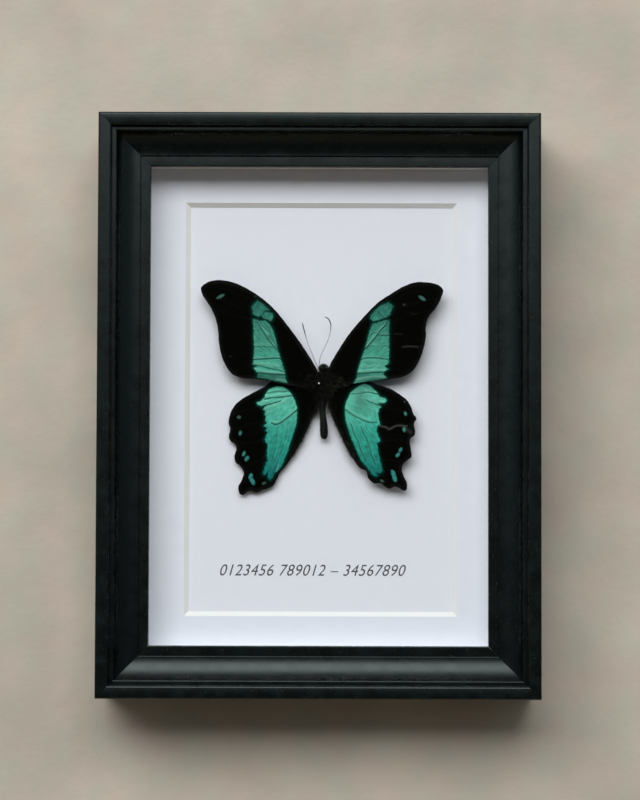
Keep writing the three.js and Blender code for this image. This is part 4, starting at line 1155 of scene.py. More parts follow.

# Plans run in [x, z] from the pin. A wing has a height and how far its far end lifts; an
# outline from the root along its leading edge; patches, each an outline; spots, each (x, z,
# half length, half width, slant in degrees, greenness); veins; folds, each (half width,
# darkness, path), creases with painted shade along them, where a wide faint one is painted
# shade alone that dulls the green; pleats, each (half width, light, path), raised lines with
# a painted highlight along them; and rubs and reflections, each (half width, strength, path),
# pale lines where scales have worn off, and painted reflections of glare on the glass.
WINGS = {
    "forewing_left": {
        "height": FOREWING_HEIGHT, "lift": 1.3,
        "root": (-0.5, 1.2),
        "outline": [
            [-0.6, 4.6], [-6.2, 13.8], [-10.8, 20.1], [-16.8, 27.3], [-22.8, 32.1], [-30.3, 36.0],
            [-36.6, 37.0], [-40.6, 35.9], [-42.4, 34.1], [-41.7, 31.4], [-38.9, 27.2],
            [-37.1, 23.0], [-36.2, 19.1], [-35.9, 14.7], [-35.0, 10.1], [-33.4, 6.3],
            [-31.1, 3.3], [-27.4, 1.8], [-22.7, 1.5], [-18.2, 0.9], [-14.3, 0.0], [-8.0, -1.0],
            [-1.6, -1.8], [0.2, 1.2],
        ],
        "patches": [
            [[-22.2, 29.6], [-24.1, 27.5], [-23.7, 24.8], [-21.9, 23.8], [-20.6, 24.5],
             [-19.6, 26.0], [-18.0, 26.4], [-20.0, 28.4]],
            [[-19.5, 25.7], [-20.5, 24.3], [-20.2, 23.4], [-17.2, 22.3], [-16.5, 23.7],
             [-16.5, 24.9], [-17.7, 25.5]],
            [[-23.8, 23.0], [-23.4, 19.5], [-23.5, 16.3], [-23.2, 12.7], [-23.5, 8.4],
             [-23.6, 6.7], [-21.9, 6.1], [-23.4, 5.5], [-22.5, 4.2], [-21.8, 3.6], [-22.3, 2.2],
             [-19.0, 1.6], [-15.4, 0.9], [-11.3, 0.2], [-11.9, 1.4], [-12.3, 4.4], [-13.1, 6.7],
             [-13.7, 8.8], [-14.6, 11.6], [-15.6, 16.0], [-16.5, 19.0], [-17.7, 21.2],
             [-19.3, 22.6], [-21.1, 22.4], [-22.3, 22.8]],
        ],
        "spots": [(-35.4, 31.1, 1.55, 0.6, 28, 0.45), (-22.8, 31.2, 0.7, 0.3, 20, 0.0),
                  (-31.8, 9.7, 0.45, 0.35, 0, 0.0)],
        "veins": [
            [[-1.0, 3.6], [-10.0, 17.3], [-20.0, 28.6], [-30.0, 34.6], [-38.5, 35.6]],
            [[-18.4, 26.2], [-29.0, 32.3], [-41.0, 34.9]],
            [[-21.6, 23.6], [-31.0, 28.2], [-41.2, 31.6]],
            [[-22.3, 21.8], [-30.0, 24.4], [-38.3, 27.0]],
            [[-1.2, 0.6], [-12.0, 0.9], [-24.0, 1.9]],
        ],
        "folds": [
            (0.30, 0.85, [[-1.5, 2.0], [-8.5, 6.5], [-15.3, 12.3], [-17.7, 15.1], [-19.3, 17.5],
                          [-20.8, 19.7], [-22.2, 22.0]]),
            (0.26, 0.85, [[-14.3, 12.2], [-16.4, 15.0], [-18.2, 17.2]]),
            (0.22, 0.6, [[-16.5, 15.7], [-17.7, 18.4], [-18.7, 20.8]]),
            (0.25, 0.55, [[-21.9, 23.1], [-22.7, 21.9], [-22.7, 20.1]]),
            (0.26, 0.5, [[-15.0, 12.9], [-18.4, 13.1], [-23.3, 13.1], [-35.6, 14.2]]),
            (0.30, 0.85, [[-12.0, 7.6], [-13.9, 8.9], [-17.8, 8.9], [-23.4, 8.5], [-34.2, 8.6]]),
            (0.32, 0.6, [[-11.0, 3.6], [-14.5, 4.7], [-18.4, 5.5], [-21.1, 6.2], [-23.6, 6.6],
                         [-32.6, 5.6]]),
            (0.34, 0.9, [[-8.0, 2.0], [-12.3, 3.1], [-16.3, 3.2], [-19.3, 3.5], [-22.4, 3.7],
                         [-29.0, 2.8]]),
        ],
        "pleats": [
            (0.35, 0.7, [[-21.7, 21.3], [-19.9, 19.1], [-18.4, 17.5], [-16.9, 15.4],
                         [-15.1, 13.2]]),
            (0.45, 0.4, [[-22.7, 14.0], [-16.9, 14.1]]),
            (0.8, 0.65, [[-23.3, 7.3], [-17.8, 6.9], [-14.8, 6.3]]),
            (0.5, 0.9, [[-23.3, 5.3], [-21.3, 4.8], [-18.7, 4.1], [-12.4, 3.8]]),
            (0.5, 0.5, [[-15.1, 1.5], [-11.8, 1.0]]),
        ],
        "rubs_and_reflections": [],
    },
    "forewing_right": {
        "height": FOREWING_HEIGHT, "lift": 1.3,
        "root": (3.9, 1.2),
        "outline": [
            [3.3, 5.3], [6.2, 10.9], [10.7, 17.8], [15.2, 23.2], [21.1, 29.2], [25.6, 32.2],
            [30.1, 34.9], [34.4, 36.4], [38.5, 36.4], [42.3, 35.6], [44.3, 33.8], [43.6, 30.8],
            [41.5, 26.9], [39.1, 23.9], [38.1, 20.0], [38.2, 17.3], [37.3, 12.5], [35.5, 7.7],
            [33.2, 4.4], [30.2, 2.6], [26.3, 1.8], [22.4, 1.2], [12.5, 0.1], [5.0, -1.6],
            [3.2, 1.2],
        ],
        "patches": [
            [[24.8, 29.1], [26.4, 27.8], [25.7, 26.2], [25.3, 24.8], [23.8, 23.8], [21.8, 22.9],
             [19.3, 22.4], [18.3, 23.3], [18.5, 24.7], [20.4, 26.8], [22.1, 28.1], [23.3, 28.6]],
            [[25.0, 22.7], [25.0, 15.6], [25.0, 9.5], [24.9, 7.5], [23.4, 6.2], [24.7, 5.2],
             [23.4, 4.4], [22.9, 3.5], [24.2, 2.1], [22.2, 1.5], [18.2, 1.1], [12.4, 0.1],
             [13.4, 2.0], [13.7, 4.3], [14.4, 6.6], [15.1, 8.9], [16.1, 11.8], [17.1, 15.0],
             [17.7, 17.6], [18.4, 19.9], [19.0, 21.4], [21.6, 22.2], [23.8, 22.9]],
        ],
        "spots": [(36.8, 30.7, 1.5, 0.6, -34, 0.45), (30.4, 28.3, 0.65, 0.5, 0, 0.0)],
        "veins": [
            [[3.6, 4.2], [11.0, 16.6], [20.5, 26.6], [30.0, 33.6], [40.0, 35.0]],
            [[21.0, 27.2], [30.0, 31.8], [43.0, 34.0]],
            [[23.5, 23.2], [32.0, 28.0], [42.6, 30.8]],
            [[24.2, 21.6], [32.0, 24.0], [40.0, 26.4]],
            [[4.2, 0.4], [13.0, 0.9], [25.0, 1.9]],
        ],
        "folds": [
            (0.28, 0.6, [[21.2, 26.2], [21.5, 25.6], [22.7, 24.5], [23.6, 23.2]]),
            (0.30, 0.85, [[3.5, 2.4], [10.0, 7.4], [16.1, 12.1], [17.3, 13.2], [19.0, 15.3],
                          [20.4, 17.0], [22.1, 19.3], [23.7, 21.0], [24.3, 22.6]]),
            (0.28, 0.7, [[20.4, 17.6], [23.0, 17.3], [25.3, 17.4]]),
            (0.22, 0.45, [[17.7, 16.7], [19.3, 18.1], [20.6, 18.2]]),
            (0.26, 0.35, [[17.8, 13.4], [22.1, 13.4], [24.9, 13.6], [37.0, 14.2]]),
            (0.28, 0.8, [[13.6, 7.8], [16.4, 9.1], [18.7, 9.2], [21.6, 9.1], [24.7, 8.7],
                         [35.8, 8.9]]),
            (0.20, 0.5, [[17.0, 7.5], [17.9, 6.8], [19.0, 7.2]]),
            (0.32, 0.85, [[9.0, 2.2], [13.9, 3.6], [16.4, 3.7], [19.3, 4.0], [23.5, 4.1],
                          [30.5, 3.4]]),
        ],
        "pleats": [
            (0.4, 0.8, [[22.7, 20.6], [20.7, 18.1], [17.8, 14.6], [16.4, 13.0]]),
            (0.5, 0.9, [[14.0, 4.5], [16.4, 4.6], [19.9, 5.0], [23.6, 4.8]]),
            (0.7, 0.4, [[14.9, 8.2], [17.0, 8.4], [23.8, 7.9]]),
            (1.1, 0.5, [[15.0, 6.3], [19.0, 6.5], [23.8, 6.4]]),
            (0.5, 0.8, [[13.3, 1.5], [16.4, 2.1], [20.4, 2.6], [23.9, 2.5]]),
        ],
        "rubs_and_reflections": [(0.28, 0.42, [[29.9, 13.2], [32.2, 13.4], [35.3, 13.2]]),
                 (0.2, 0.2, [[26.8, 17.9], [29.8, 17.7]]), (0.3, 0.12, [[32.8, 25.2], [34.6, 25.0]])],
    },
    "hindwing_left": {
        "height": HINDWING_HEIGHT, "lift": -1.3,
        "root": (0.4, 1.0),
        "outline": [
            [-0.8, 2.2], [-7.0, 2.6], [-13.0, 2.4], [-17.4, 0.6], [-19.6, -1.0], [-24.1, -3.4],
            [-27.7, -5.5], [-30.1, -7.6], [-31.8, -10.6], [-32.4, -14.3], [-31.8, -16.0],
            [-32.3, -19.0], [-31.5, -20.8], [-30.0, -21.7], [-29.6, -23.5], [-30.3, -26.2],
            [-29.7, -28.3], [-28.2, -29.5], [-26.9, -31.9], [-27.6, -34.5], [-28.8, -36.9],
            [-28.4, -39.3], [-27.2, -39.9], [-25.8, -39.0], [-24.6, -38.4], [-22.5, -39.0],
            [-20.7, -38.4], [-18.3, -37.5], [-16.5, -36.6], [-15.0, -34.2], [-14.1, -32.1],
            [-11.8, -29.4], [-8.8, -24.9], [-6.4, -20.7], [-4.0, -15.9], [-2.3, -11.7],
            [-0.4, -9.2], [-0.2, -4.0],
        ],
        "patches": [
            [[-15.0, -1.0], [-17.0, -1.6], [-18.4, -2.4], [-19.1, -3.6], [-19.7, -5.0],
             [-20.7, -6.0], [-22.3, -6.8], [-21.9, -7.5], [-20.7, -8.0], [-18.7, -7.7],
             [-20.2, -9.0], [-19.8, -9.5], [-19.1, -9.6], [-19.5, -10.8], [-19.0, -11.6],
             [-19.2, -13.3], [-18.6, -13.9], [-19.8, -15.1], [-18.6, -15.8], [-19.1, -16.8],
             [-18.3, -17.3], [-19.3, -19.6], [-19.3, -20.6], [-18.3, -21.6], [-18.6, -25.6],
             [-18.3, -27.4], [-19.2, -29.1], [-20.0, -32.4], [-19.2, -32.6], [-18.2, -31.2],
             [-18.3, -33.7], [-17.4, -34.4], [-16.6, -33.7], [-15.7, -31.9], [-13.4, -29.9],
             [-12.6, -27.9], [-10.6, -22.5], [-8.8, -16.7], [-8.0, -13.9], [-7.8, -8.7],
             [-8.6, -6.1], [-9.8, -3.7], [-11.0, -2.3], [-13.0, -1.1]],
        ],
        "spots": [
            (-28.7, -12.0, 0.75, 0.65, 0, 0.3), (-28.2, -17.7, 0.9, 0.6, 80, 0.6),
            (-26.9, -25.1, 1.0, 0.6, 65, 0.8), (-25.8, -26.8, 1.05, 0.7, 55, 0.9),
            (-24.4, -33.2, 1.15, 0.75, 70, 1.0), (-23.8, -34.9, 1.5, 0.8, 115, 1.0),
            (-19.6, -35.6, 0.85, 0.5, 25, 0.25),
        ],
        "veins": [
            [[-18.6, -8.4], [-25.0, -9.0], [-31.6, -11.6]],
            [[-18.4, -13.6], [-25.0, -14.6], [-31.6, -16.6]],
            [[-18.0, -20.0], [-24.0, -21.0], [-30.3, -22.0]],
            [[-18.0, -26.0], [-23.0, -28.2], [-28.0, -30.2]],
            [[-18.4, -31.6], [-21.6, -35.0], [-24.9, -38.4]],
            [[-0.6, -2.0], [-4.6, -12.0], [-9.6, -23.0], [-14.4, -31.6]],
        ],
        "folds": [
            # painted shadow: the first fold is the shadow that the forewing's lower edge casts on the
            # green
            (0.45, 0.55, [[-18.4, -3.4], [-15.5, -2.9], [-13.0, -2.8], [-10.7, -2.6]]),
            (0.36, 0.8, [[-19.5, -5.5], [-17.2, -5.1], [-14.4, -4.9], [-9.8, -4.3]]),
            (0.34, 0.8, [[-20.7, -8.1], [-18.4, -7.5], [-16.1, -6.9], [-13.8, -6.2]]),
            (0.34, 0.85, [[-7.4, -9.1], [-9.8, -11.0], [-11.8, -12.5], [-13.8, -14.0],
                          [-15.5, -14.6], [-16.9, -14.1]]),
            (0.20, 0.3, [[-19.1, -9.7], [-18.7, -11.6], [-18.4, -13.6]]),
            (0.20, 0.25, [[-17.2, -14.5], [-16.9, -16.8], [-17.2, -19.6], [-18.0, -25.4]]),
            (0.20, 0.4, [[-14.9, -15.0], [-15.1, -17.3], [-15.5, -21.1], [-16.3, -24.8],
                         [-17.6, -30.5]]),
            (0.18, 0.2, [[-12.9, -14.5], [-13.2, -17.3], [-14.0, -21.1], [-15.2, -25.4],
                         [-17.7, -31.1]]),
            (0.18, 0.35, [[-11.2, -14.2], [-11.5, -17.3], [-12.6, -21.0], [-14.0, -25.3],
                          [-16.3, -31.1]]),
            (0.16, 0.2, [[-9.8, -12.7], [-10.0, -16.2], [-11.2, -20.2], [-13.7, -27.6]]),
        ],
        "pleats": [
            (0.6, 0.8, [[-19.5, -4.7], [-17.3, -4.1], [-13.8, -3.7], [-9.8, -3.6]]),
            (0.5, 0.9, [[-20.0, -9.2], [-17.2, -8.3], [-14.1, -6.9], [-11.2, -5.4]]),
            (0.38, 0.9, [[-7.6, -8.5], [-9.6, -10.3], [-11.2, -11.7], [-13.2, -13.2],
                         [-15.2, -13.9], [-16.9, -13.5]]),
            (0.4, 0.6, [[-21.8, -6.9], [-19.5, -6.3], [-17.8, -6.2]]),
            (0.3, 0.8, [[-14.4, -29.1], [-14.8, -30.5], [-15.0, -31.5]]),
        ],
        "rubs_and_reflections": [],
    },
    "hindwing_right": {
        "height": HINDWING_HEIGHT, "lift": 1.0,
        "root": (3.4, 1.0),
        "outline": [
            [4.4, 2.2], [10.0, 2.8], [15.0, 2.4], [18.8, 0.6], [25.7, -1.8], [28.7, -3.6],
            [31.4, -5.7], [32.9, -8.1], [33.8, -10.7], [34.9, -12.5], [34.0, -14.1],
            [34.4, -17.0], [34.1, -18.5], [32.6, -19.7], [32.8, -22.7], [33.1, -26.0],
            [31.8, -27.2], [30.2, -28.7], [29.7, -30.8], [30.5, -33.2], [31.6, -35.9],
            [31.2, -38.0], [30.0, -38.1], [28.5, -37.1], [27.0, -36.8], [25.2, -37.5],
            [23.7, -36.8], [22.2, -35.6], [19.8, -35.6], [17.7, -33.8], [16.8, -31.1],
            [14.7, -30.2], [12.9, -27.9], [10.8, -24.6], [8.7, -20.4], [6.3, -15.3],
            [4.2, -10.5], [3.6, -8.6], [3.5, -4.0],
        ],
        "patches": [
            [[16.2, 0.1], [14.2, -0.7], [12.7, -2.0], [11.3, -3.1], [10.5, -4.9], [9.7, -6.6],
             [9.3, -8.4], [9.3, -10.4], [9.6, -13.2], [10.5, -16.1], [11.6, -19.5],
             [12.9, -22.4], [15.1, -27.5], [17.3, -30.0], [18.8, -32.1], [20.1, -33.1],
             [21.0, -32.8], [20.7, -31.4], [21.7, -32.0], [22.7, -31.4], [22.3, -29.0],
             [21.8, -27.0], [21.1, -23.8], [20.7, -21.2], [22.0, -20.4], [21.1, -18.4],
             [20.7, -16.6], [20.8, -15.2], [21.9, -14.5], [21.4, -12.6], [21.2, -10.9],
             [21.4, -8.9], [22.2, -8.3], [21.9, -7.6], [20.5, -6.9], [23.5, -6.9],
             [24.2, -5.9], [23.6, -5.0], [21.6, -4.6], [21.3, -3.5], [19.9, -2.3],
             [18.5, -0.9]],
        ],
        "spots": [
            (30.6, -6.4, 0.4, 0.3, 20, 0.1), (30.9, -10.6, 0.8, 0.55, 110, 0.7),
            (30.5, -16.3, 0.95, 0.65, 100, 0.65), (29.2, -23.6, 0.95, 0.6, 60, 0.95),
            (28.2, -25.4, 0.95, 0.65, 50, 0.95), (26.6, -32.0, 1.35, 0.8, 115, 1.0),
            (27.1, -33.6, 1.5, 0.8, 105, 1.0), (22.6, -34.7, 0.8, 0.45, -30, 0.3),
        ],
        "veins": [
            [[21.0, -8.6], [27.0, -9.0], [33.9, -11.6]],
            [[21.4, -13.8], [27.0, -13.9], [34.2, -14.9]],
            [[21.2, -20.6], [26.0, -20.0], [32.8, -20.2]],
            [[21.6, -27.0], [26.0, -27.4], [30.6, -28.3]],
            [[20.6, -31.6], [23.6, -34.0], [25.6, -37.2]],
            [[3.9, -3.0], [7.4, -12.0], [12.0, -22.6], [17.0, -30.8]],
        ],
        "folds": [
            # painted shade: the three wide faint folds dull this wing's green, which the light from
            # the left reaches less
            (4.0, 0.4, [[13.4, -1.0], [14.8, -4.6], [15.4, -8.2]]),
            (1.5, 0.45, [[12.5, -1.2], [16.2, -0.6], [19.0, -1.8]]),
            (4.0, 0.17, [[12.0, -3.0], [18.5, -7.5]]),
            (0.36, 0.75, [[11.7, -3.6], [14.8, -3.4], [17.3, -3.0], [21.2, -3.7]]),
            (0.22, 0.5, [[17.6, -2.3], [17.6, -3.3]]),
            (0.36, 0.75, [[17.1, -6.0], [19.3, -6.9], [21.9, -7.9]]),
            (0.30, 0.75, [[9.0, -8.9], [11.6, -10.8], [14.2, -12.3], [16.5, -13.3],
                          [18.2, -13.8], [20.5, -13.8]]),
            (0.20, 0.4, [[19.9, -9.2], [20.1, -11.5], [20.5, -13.8]]),
            (0.24, 0.85, [[11.3, -14.2], [12.6, -17.9], [14.1, -20.8], [14.9, -23.4],
                          [16.8, -27.6]]),
            (0.24, 0.85, [[15.0, -15.2], [16.4, -18.5], [17.8, -21.4], [18.2, -23.2],
                          [20.2, -29.0]]),
            (0.18, 0.25, [[17.1, -14.9], [18.5, -18.4], [20.0, -22.4], [21.1, -26.4],
                         [22.3, -30.7]]),
            (0.16, 0.25, [[10.5, -15.0], [12.2, -19.5], [14.5, -24.1], [16.2, -28.1]]),
            (0.34, 0.7, [[16.8, -22.4], [17.0, -22.6]]), (0.34, 0.7, [[18.4, -23.7], [18.6, -23.9]]),
        ],
        "pleats": [
            (0.5, 0.7, [[11.5, -2.6], [14.2, -2.3], [17.6, -2.6], [21.1, -3.0]]),
            (0.36, 0.8, [[9.5, -8.1], [11.6, -9.8], [14.2, -11.3], [16.5, -12.5], [17.8, -12.9]]),
            (0.5, 0.5, [[17.4, -5.2], [19.3, -6.1], [22.6, -6.4]]),
        ],
        # painted reflection: the first line is a pale streak of glare on the glass across this wing,
        # the second its end at the margin
        "rubs_and_reflections": [(0.3, 0.85, [[21.8, -15.0], [24.2, -15.6], [25.1, -16.2], [26.5, -15.5],
                              [28.0, -14.9], [31.4, -15.1]]),
                 (0.7, 0.35, [[31.6, -16.4], [32.8, -17.2]])],
    },
}


def distance_to(points, path, closed=False):
    """How far each plan point lies from a path of straight steps."""
    best = np.full(len(points), np.inf)
    path = np.asarray(path, float)
    for start, stop in zip(path, np.roll(path, -1, axis=0) if closed else path[1:]):
        run = stop - start
        share = np.clip((points - start) @ run / max(run @ run, 1e-12), 0, 1)
        best = np.minimum(best, np.linalg.norm(points - start - share[:, None] * run, axis=1))
    return best


def depth_inside(points, outline):
    """How deep each plan point lies inside a closed outline; outside, it counts below zero."""
    inside = np.zeros(len(points), bool)
    for (x1, z1), (x2, z2) in zip(outline, np.roll(outline, -1, axis=0)):
        if z1 != z2:
            crosses = (z1 > points[:, 1]) != (z2 > points[:, 1])
            inside ^= crosses & (points[:, 0] < (x2 - x1) * (points[:, 1] - z1) / (z2 - z1) + x1)
    return np.where(inside, 1, -1) * distance_to(points, outline, True)


def along_paths(points, lines):
    """The strongest soft line at each point, from (half width, strength, path)."""
    best = np.zeros(len(points))
    for half_width, strength, path in lines:
        path = smooth_path(path, False, 5) if len(path) > 2 else np.asarray(path)
        best = np.maximum(best, strength * np.exp(-(distance_to(points, path) / half_width) ** 2))
    return best


def wing_plan(outline):
    """A wing's plan as points and anticlockwise triangles, with an even grid inside it."""
    edge = even_steps(smooth_path(outline, True), EDGE_STEPS, closed=True)
    outwards = np.roll(edge, -1, axis=0) - np.roll(edge, 1, axis=0)
    outwards = np.stack([outwards[:, 1], -outwards[:, 0]], axis=1)
    outwards /= np.linalg.norm(outwards, axis=1)[:, None]
    step = np.arange(EDGE_STEPS)
    nick = sum(np.sin(step * waves * 2 * math.pi / EDGE_STEPS + waves) * share
               for waves, share in NICK_WAVES)
    edge = edge + outwards * (EDGE_NICK * nick)[:, None]
    low, high = edge.min(0), edge.max(0)
    rows = np.arange(low[1], high[1], GRID * math.sqrt(3) / 2)
    across = np.arange(low[0], high[0], GRID)
    grid = np.concatenate([np.stack([across + (i % 2) * GRID / 2, np.full_like(across, z)], 1)
                           for i, z in enumerate(rows)])
    grid = grid[depth_inside(grid, edge) > GRID * 0.6]
    points = [Vector(point) for point in np.vstack([edge, grid])]
    sides = [(i, (i + 1) % EDGE_STEPS) for i in range(EDGE_STEPS)]
    made = delaunay_2d_cdt(points, sides, [], 1, 1e-5, False)
    points, triangles = np.array([tuple(point) for point in made[0]]), np.array(made[2])
    on_edge = distance_to(points, edge, True) < 1e-3
    doubtful = np.flatnonzero(on_edge[triangles].all(axis=1))
    stray = depth_inside(points[triangles[doubtful]].mean(axis=1), edge) < 0
    return points, np.delete(triangles, doubtful[stray], axis=0), edge


def wing(name, plan):
    """A wing's thin closed body, with what lies on it kept as attributes of its points."""
    points, triangles, edge = wing_plan(plan["outline"])
    count = len(points)
    from_edge = distance_to(points, edge, True)
    vein = along_paths(points, [(VEIN_HALF_WIDTH, 1.0, path) for path in plan["veins"]])
    folds = [(half_width * FOLD_NARROWNESS, min(1.0, darkness * FOLD_DARKENING), path)
             for half_width, darkness, path in plan["folds"]]
    # a crease in the relief, and a mask of painted shade along each fold
    fold_and_shade = along_paths(points, folds)
    # painted highlight on the lit side of each fold, offset a little towards the light; the pleats
    # are raised lines with a painted highlight along them
    lit_side_crest = along_paths(points - FOLD_CREST, folds)
    pleat_and_highlight = np.maximum(along_paths(points, plan["pleats"]), CREST_SHARE * lit_side_crest)
    patch = np.max([depth_inside(points, np.asarray(outline))
                    for outline in plan["patches"]], axis=0)
    spot, green = np.full(count, -MASK_REACH), np.zeros(count)
    for x, z, half_length, half_width, slant, greenness in plan["spots"]:
        from_middle = points - (x, z)
        lengthwise = np.array([math.cos(math.radians(slant)), math.sin(math.radians(slant))])
        off = np.hypot(from_middle @ lengthwise / half_length,
                       from_middle @ (-lengthwise[1], lengthwise[0]) / half_width)
        depth = (1 - off) * half_width
        green = np.where(depth > spot, greenness, green)
        spot = np.maximum(spot, depth)
    rub_and_reflection = along_paths(points, plan["rubs_and_reflections"])

    x, z = points[:, 0], points[:, 1]
    reach = np.minimum(np.hypot(x - BODY_X, z) / SPAN_REACH, 1)
    rise = plan["lift"] * np.sin(reach * math.pi * LIFT_CURVE)
    sway = 0.10 * np.sin(x * 0.31 + z * 0.17) + 0.07 * np.sin(z * 0.53 - x * 0.21 + 1.0)
    inset = np.clip(from_edge / EDGE_TAPER, 0, 1)
    relief = sway * inset + VEIN_RISE * vein + PLEAT_RISE * pleat_and_highlight - FOLD_DEPTH * fold_and_shade
    half = (WING_EDGE_THICKNESS + (WING_MIDDLE_THICKNESS - WING_EDGE_THICKNESS) * inset) / 2
    level = plan["height"] + rise + relief

    def on_wing(height):
        return np.stack([PIN.x + x * MM, -height * MM, PIN.z + z * MM], axis=1)

    borders = {}
    for a, b, c in triangles:
        for pair in ((a, b), (b, c), (c, a)):
            if pair[::-1] in borders:
                del borders[pair[::-1]]
            else:
                borders[pair] = True
    rim = [(b, a, a + count, b + count) for a, b in borders]
    faces = [tuple(t) for t in triangles] + [tuple(t[::-1] + count) for t in triangles] + rim
    obj = mesh_object(name, np.vstack([on_wing(level + half), on_wing(level - half)]), faces)

    marks = {"patch": np.clip(patch, -MASK_REACH, MASK_REACH),
             "spot": np.clip(spot, -MASK_REACH, MASK_REACH), "green": green, "vein": vein,
             "fold_and_shade": fold_and_shade, "pleat_and_highlight": pleat_and_highlight, "rub_and_reflection": rub_and_reflection, "border": np.clip(from_edge, 0, 4)}
    for label, values in marks.items():
        layer = obj.data.attributes.new(label, "FLOAT", "POINT")
        layer.data.foreach_set("value", np.tile(values, 2).astype(np.float32))
    from_root = points - np.array(plan["root"])
    flow = np.stack([np.arctan2(from_root[:, 1], np.abs(from_root[:, 0])),
                     np.linalg.norm(from_root, axis=1)], axis=1)
    corners = np.zeros(len(obj.data.loops), np.int32)
    obj.data.loops.foreach_get("vertex_index", corners)
    scales = obj.data.uv_layers.new(name="flow")
    scales.data.foreach_set("uv", np.tile(flow, (2, 1))[corners].astype(np.float32).ravel())
    return face_out(obj, math.radians(60))


BLACK_SCALES = (0.0007, 0.0011, 0.0006)
BROWN_SCALES = (0.0050, 0.0045, 0.0036)
DUSTED_SCALES = (0.006, 0.026, 0.018)
# painted shade along the folds
FOLD_SHADE_PAINT = (0.003, 0.030, 0.022)
DULL_SPOT = (0.085, 0.105, 0.085)
TEAL_SPOT = (0.045, 0.255, 0.240)
MARGIN_SCALES = (0.0085, 0.0083, 0.0083)
PATCH_SHADE = (0.0015, 0.030, 0.021)
# painted highlight along the pleats and beside the folds
PAINTED_HIGHLIGHT_GREEN = (0.240, 0.600, 0.455)
# pale worn membrane, and the colour of painted reflections of glare
PALE_WEAR_AND_REFLECTION = (0.075, 0.078, 0.070)
WARM_TINT = (1.25, 0.98, 0.93)
COOL_TINT = (0.55, 1.0, 1.07)
SCALE_GRAIN = (0.22, 0.22, 0.22)
SPECK_GRAIN = (0.12, 0.12, 0.12)
SCALE_RELIEF = 0.05 * MM

# The patches' green by height from the pin, in millimetres.
GREENS = [
    (-36, (0.008, 0.125, 0.120)), (-31, (0.014, 0.175, 0.158)), (-24, (0.027, 0.280, 0.225)),
    (-17, (0.045, 0.340, 0.268)), (-10, (0.100, 0.450, 0.345)), (-3, (0.145, 0.540, 0.410)),
    (0.3, (0.100, 0.400, 0.300)), (1.2, (0.036, 0.140, 0.105)),
    (2.9, (0.040, 0.165, 0.125)), (4.2, (0.066, 0.330, 0.250)),
    (9, (0.070, 0.330, 0.245)), (16, (0.062, 0.265, 0.195)), (22, (0.045, 0.200, 0.155)),
    (30, (0.028, 0.140, 0.112)),
]

wing_scales, tree, surface, _ = new_material("wing_scales", Specular_IOR_Level=0.012)


def mark(label):
    """What a wing's points say of one kind of mark."""
    return add(tree, "ShaderNodeAttribute", attribute_name=label).outputs["Fac"]


# Scales lie in rows across the wing's flow from its root: u turns about the root, v runs out.
flow = add(tree, "ShaderNodeUVMap", uv_map="flow").outputs[0]
u_v = add(tree, "ShaderNodeSeparateXYZ", {0: flow}).outputs


def drawn_out(around, outwards, detail):
    """Noise along the flow, by how fine it is about the root and outwards from it."""
    stretched = add(tree, "ShaderNodeCombineXYZ", {
        "X": calc(tree, "MULTIPLY", u_v["X"], around),
        "Y": calc(tree, "MULTIPLY", u_v["Y"], outwards)})
    return add(tree, "ShaderNodeTexNoise",
               {"Vector": stretched.outputs[0], "Scale": 1.0, "Detail": detail}).outputs[0]


streaks = drawn_out(48.0, 0.42, 4.0)
feather = drawn_out(75.0, 0.9, 3.0)
grain = use(tree, grain_group, Grain_size=SCALE_GRAIN)
speck = use(tree, grain_group, Grain_size=SPECK_GRAIN)

ragged = calc(tree, "ADD", mark("patch"),
              calc(tree, "ADD", calc(tree, "MULTIPLY", calc(tree, "SUBTRACT", feather, 0.5), 1.1),
                   calc(tree, "MULTIPLY", calc(tree, "SUBTRACT", speck["Height"], 0.5), 0.6)))
in_patch = span(tree, ragged, -0.16, 0.2, smooth=True)
near_patch = span(tree, mark("patch"), -2.2, 0.1)
dusting = calc(tree, "MULTIPLY", near_patch, span(tree, speck["Height"], 0.5, 0.68))

height = add(tree, "ShaderNodeSeparateXYZ", {
    0: add(tree, "ShaderNodeTexCoord").outputs["Object"]}).outputs["Z"]
low_end, high_end = GREENS[0][0], GREENS[-1][0]
greens = add(tree, "ShaderNodeValToRGB", {
    0: span(tree, height, PIN.z + low_end * MM, PIN.z + high_end * MM)})
stops = greens.color_ramp.elements
stops[0].color, stops[-1].color = rgb(*GREENS[0][1]), rgb(*GREENS[-1][1])
for z, colour in GREENS[1:-1]:
    stops.new((z - low_end) / (high_end - low_end)).color = rgb(*colour)
lit = calc(tree, "MULTIPLY", span(tree, streaks, *NOISE_RANGE, 0.62, 1.38),
           span(tree, grain["Mottle"], *NOISE_RANGE, 0.88, 1.12))
tinted = add(tree, "ShaderNodeVectorMath", {
    0: greens.outputs[0],
    1: blend(tree, span(tree, feather, 0.4, 0.62), rgb(*WARM_TINT), rgb(*COOL_TINT))},
    operation="MULTIPLY").outputs[0]
shaded = add(tree, "ShaderNodeVectorMath", {0: tinted, "Scale": lit},
             operation="SCALE").outputs[0]
# painted highlight along the pleats and on the lit side of the folds
shaded = blend(tree, calc(tree, "MULTIPLY", mark("pleat_and_highlight"), 0.5), shaded, rgb(*PAINTED_HIGHLIGHT_GREEN))
# painted shade along the folds darkens the green
painted_fold_shade = calc(tree, "MULTIPLY", mark("fold_and_shade"), span(tree, speck["Height"], 0.3, 0.6, 0.75, 1.0))
green_colour = blend(tree, painted_fold_shade, shaded, rgb(*FOLD_SHADE_PAINT))

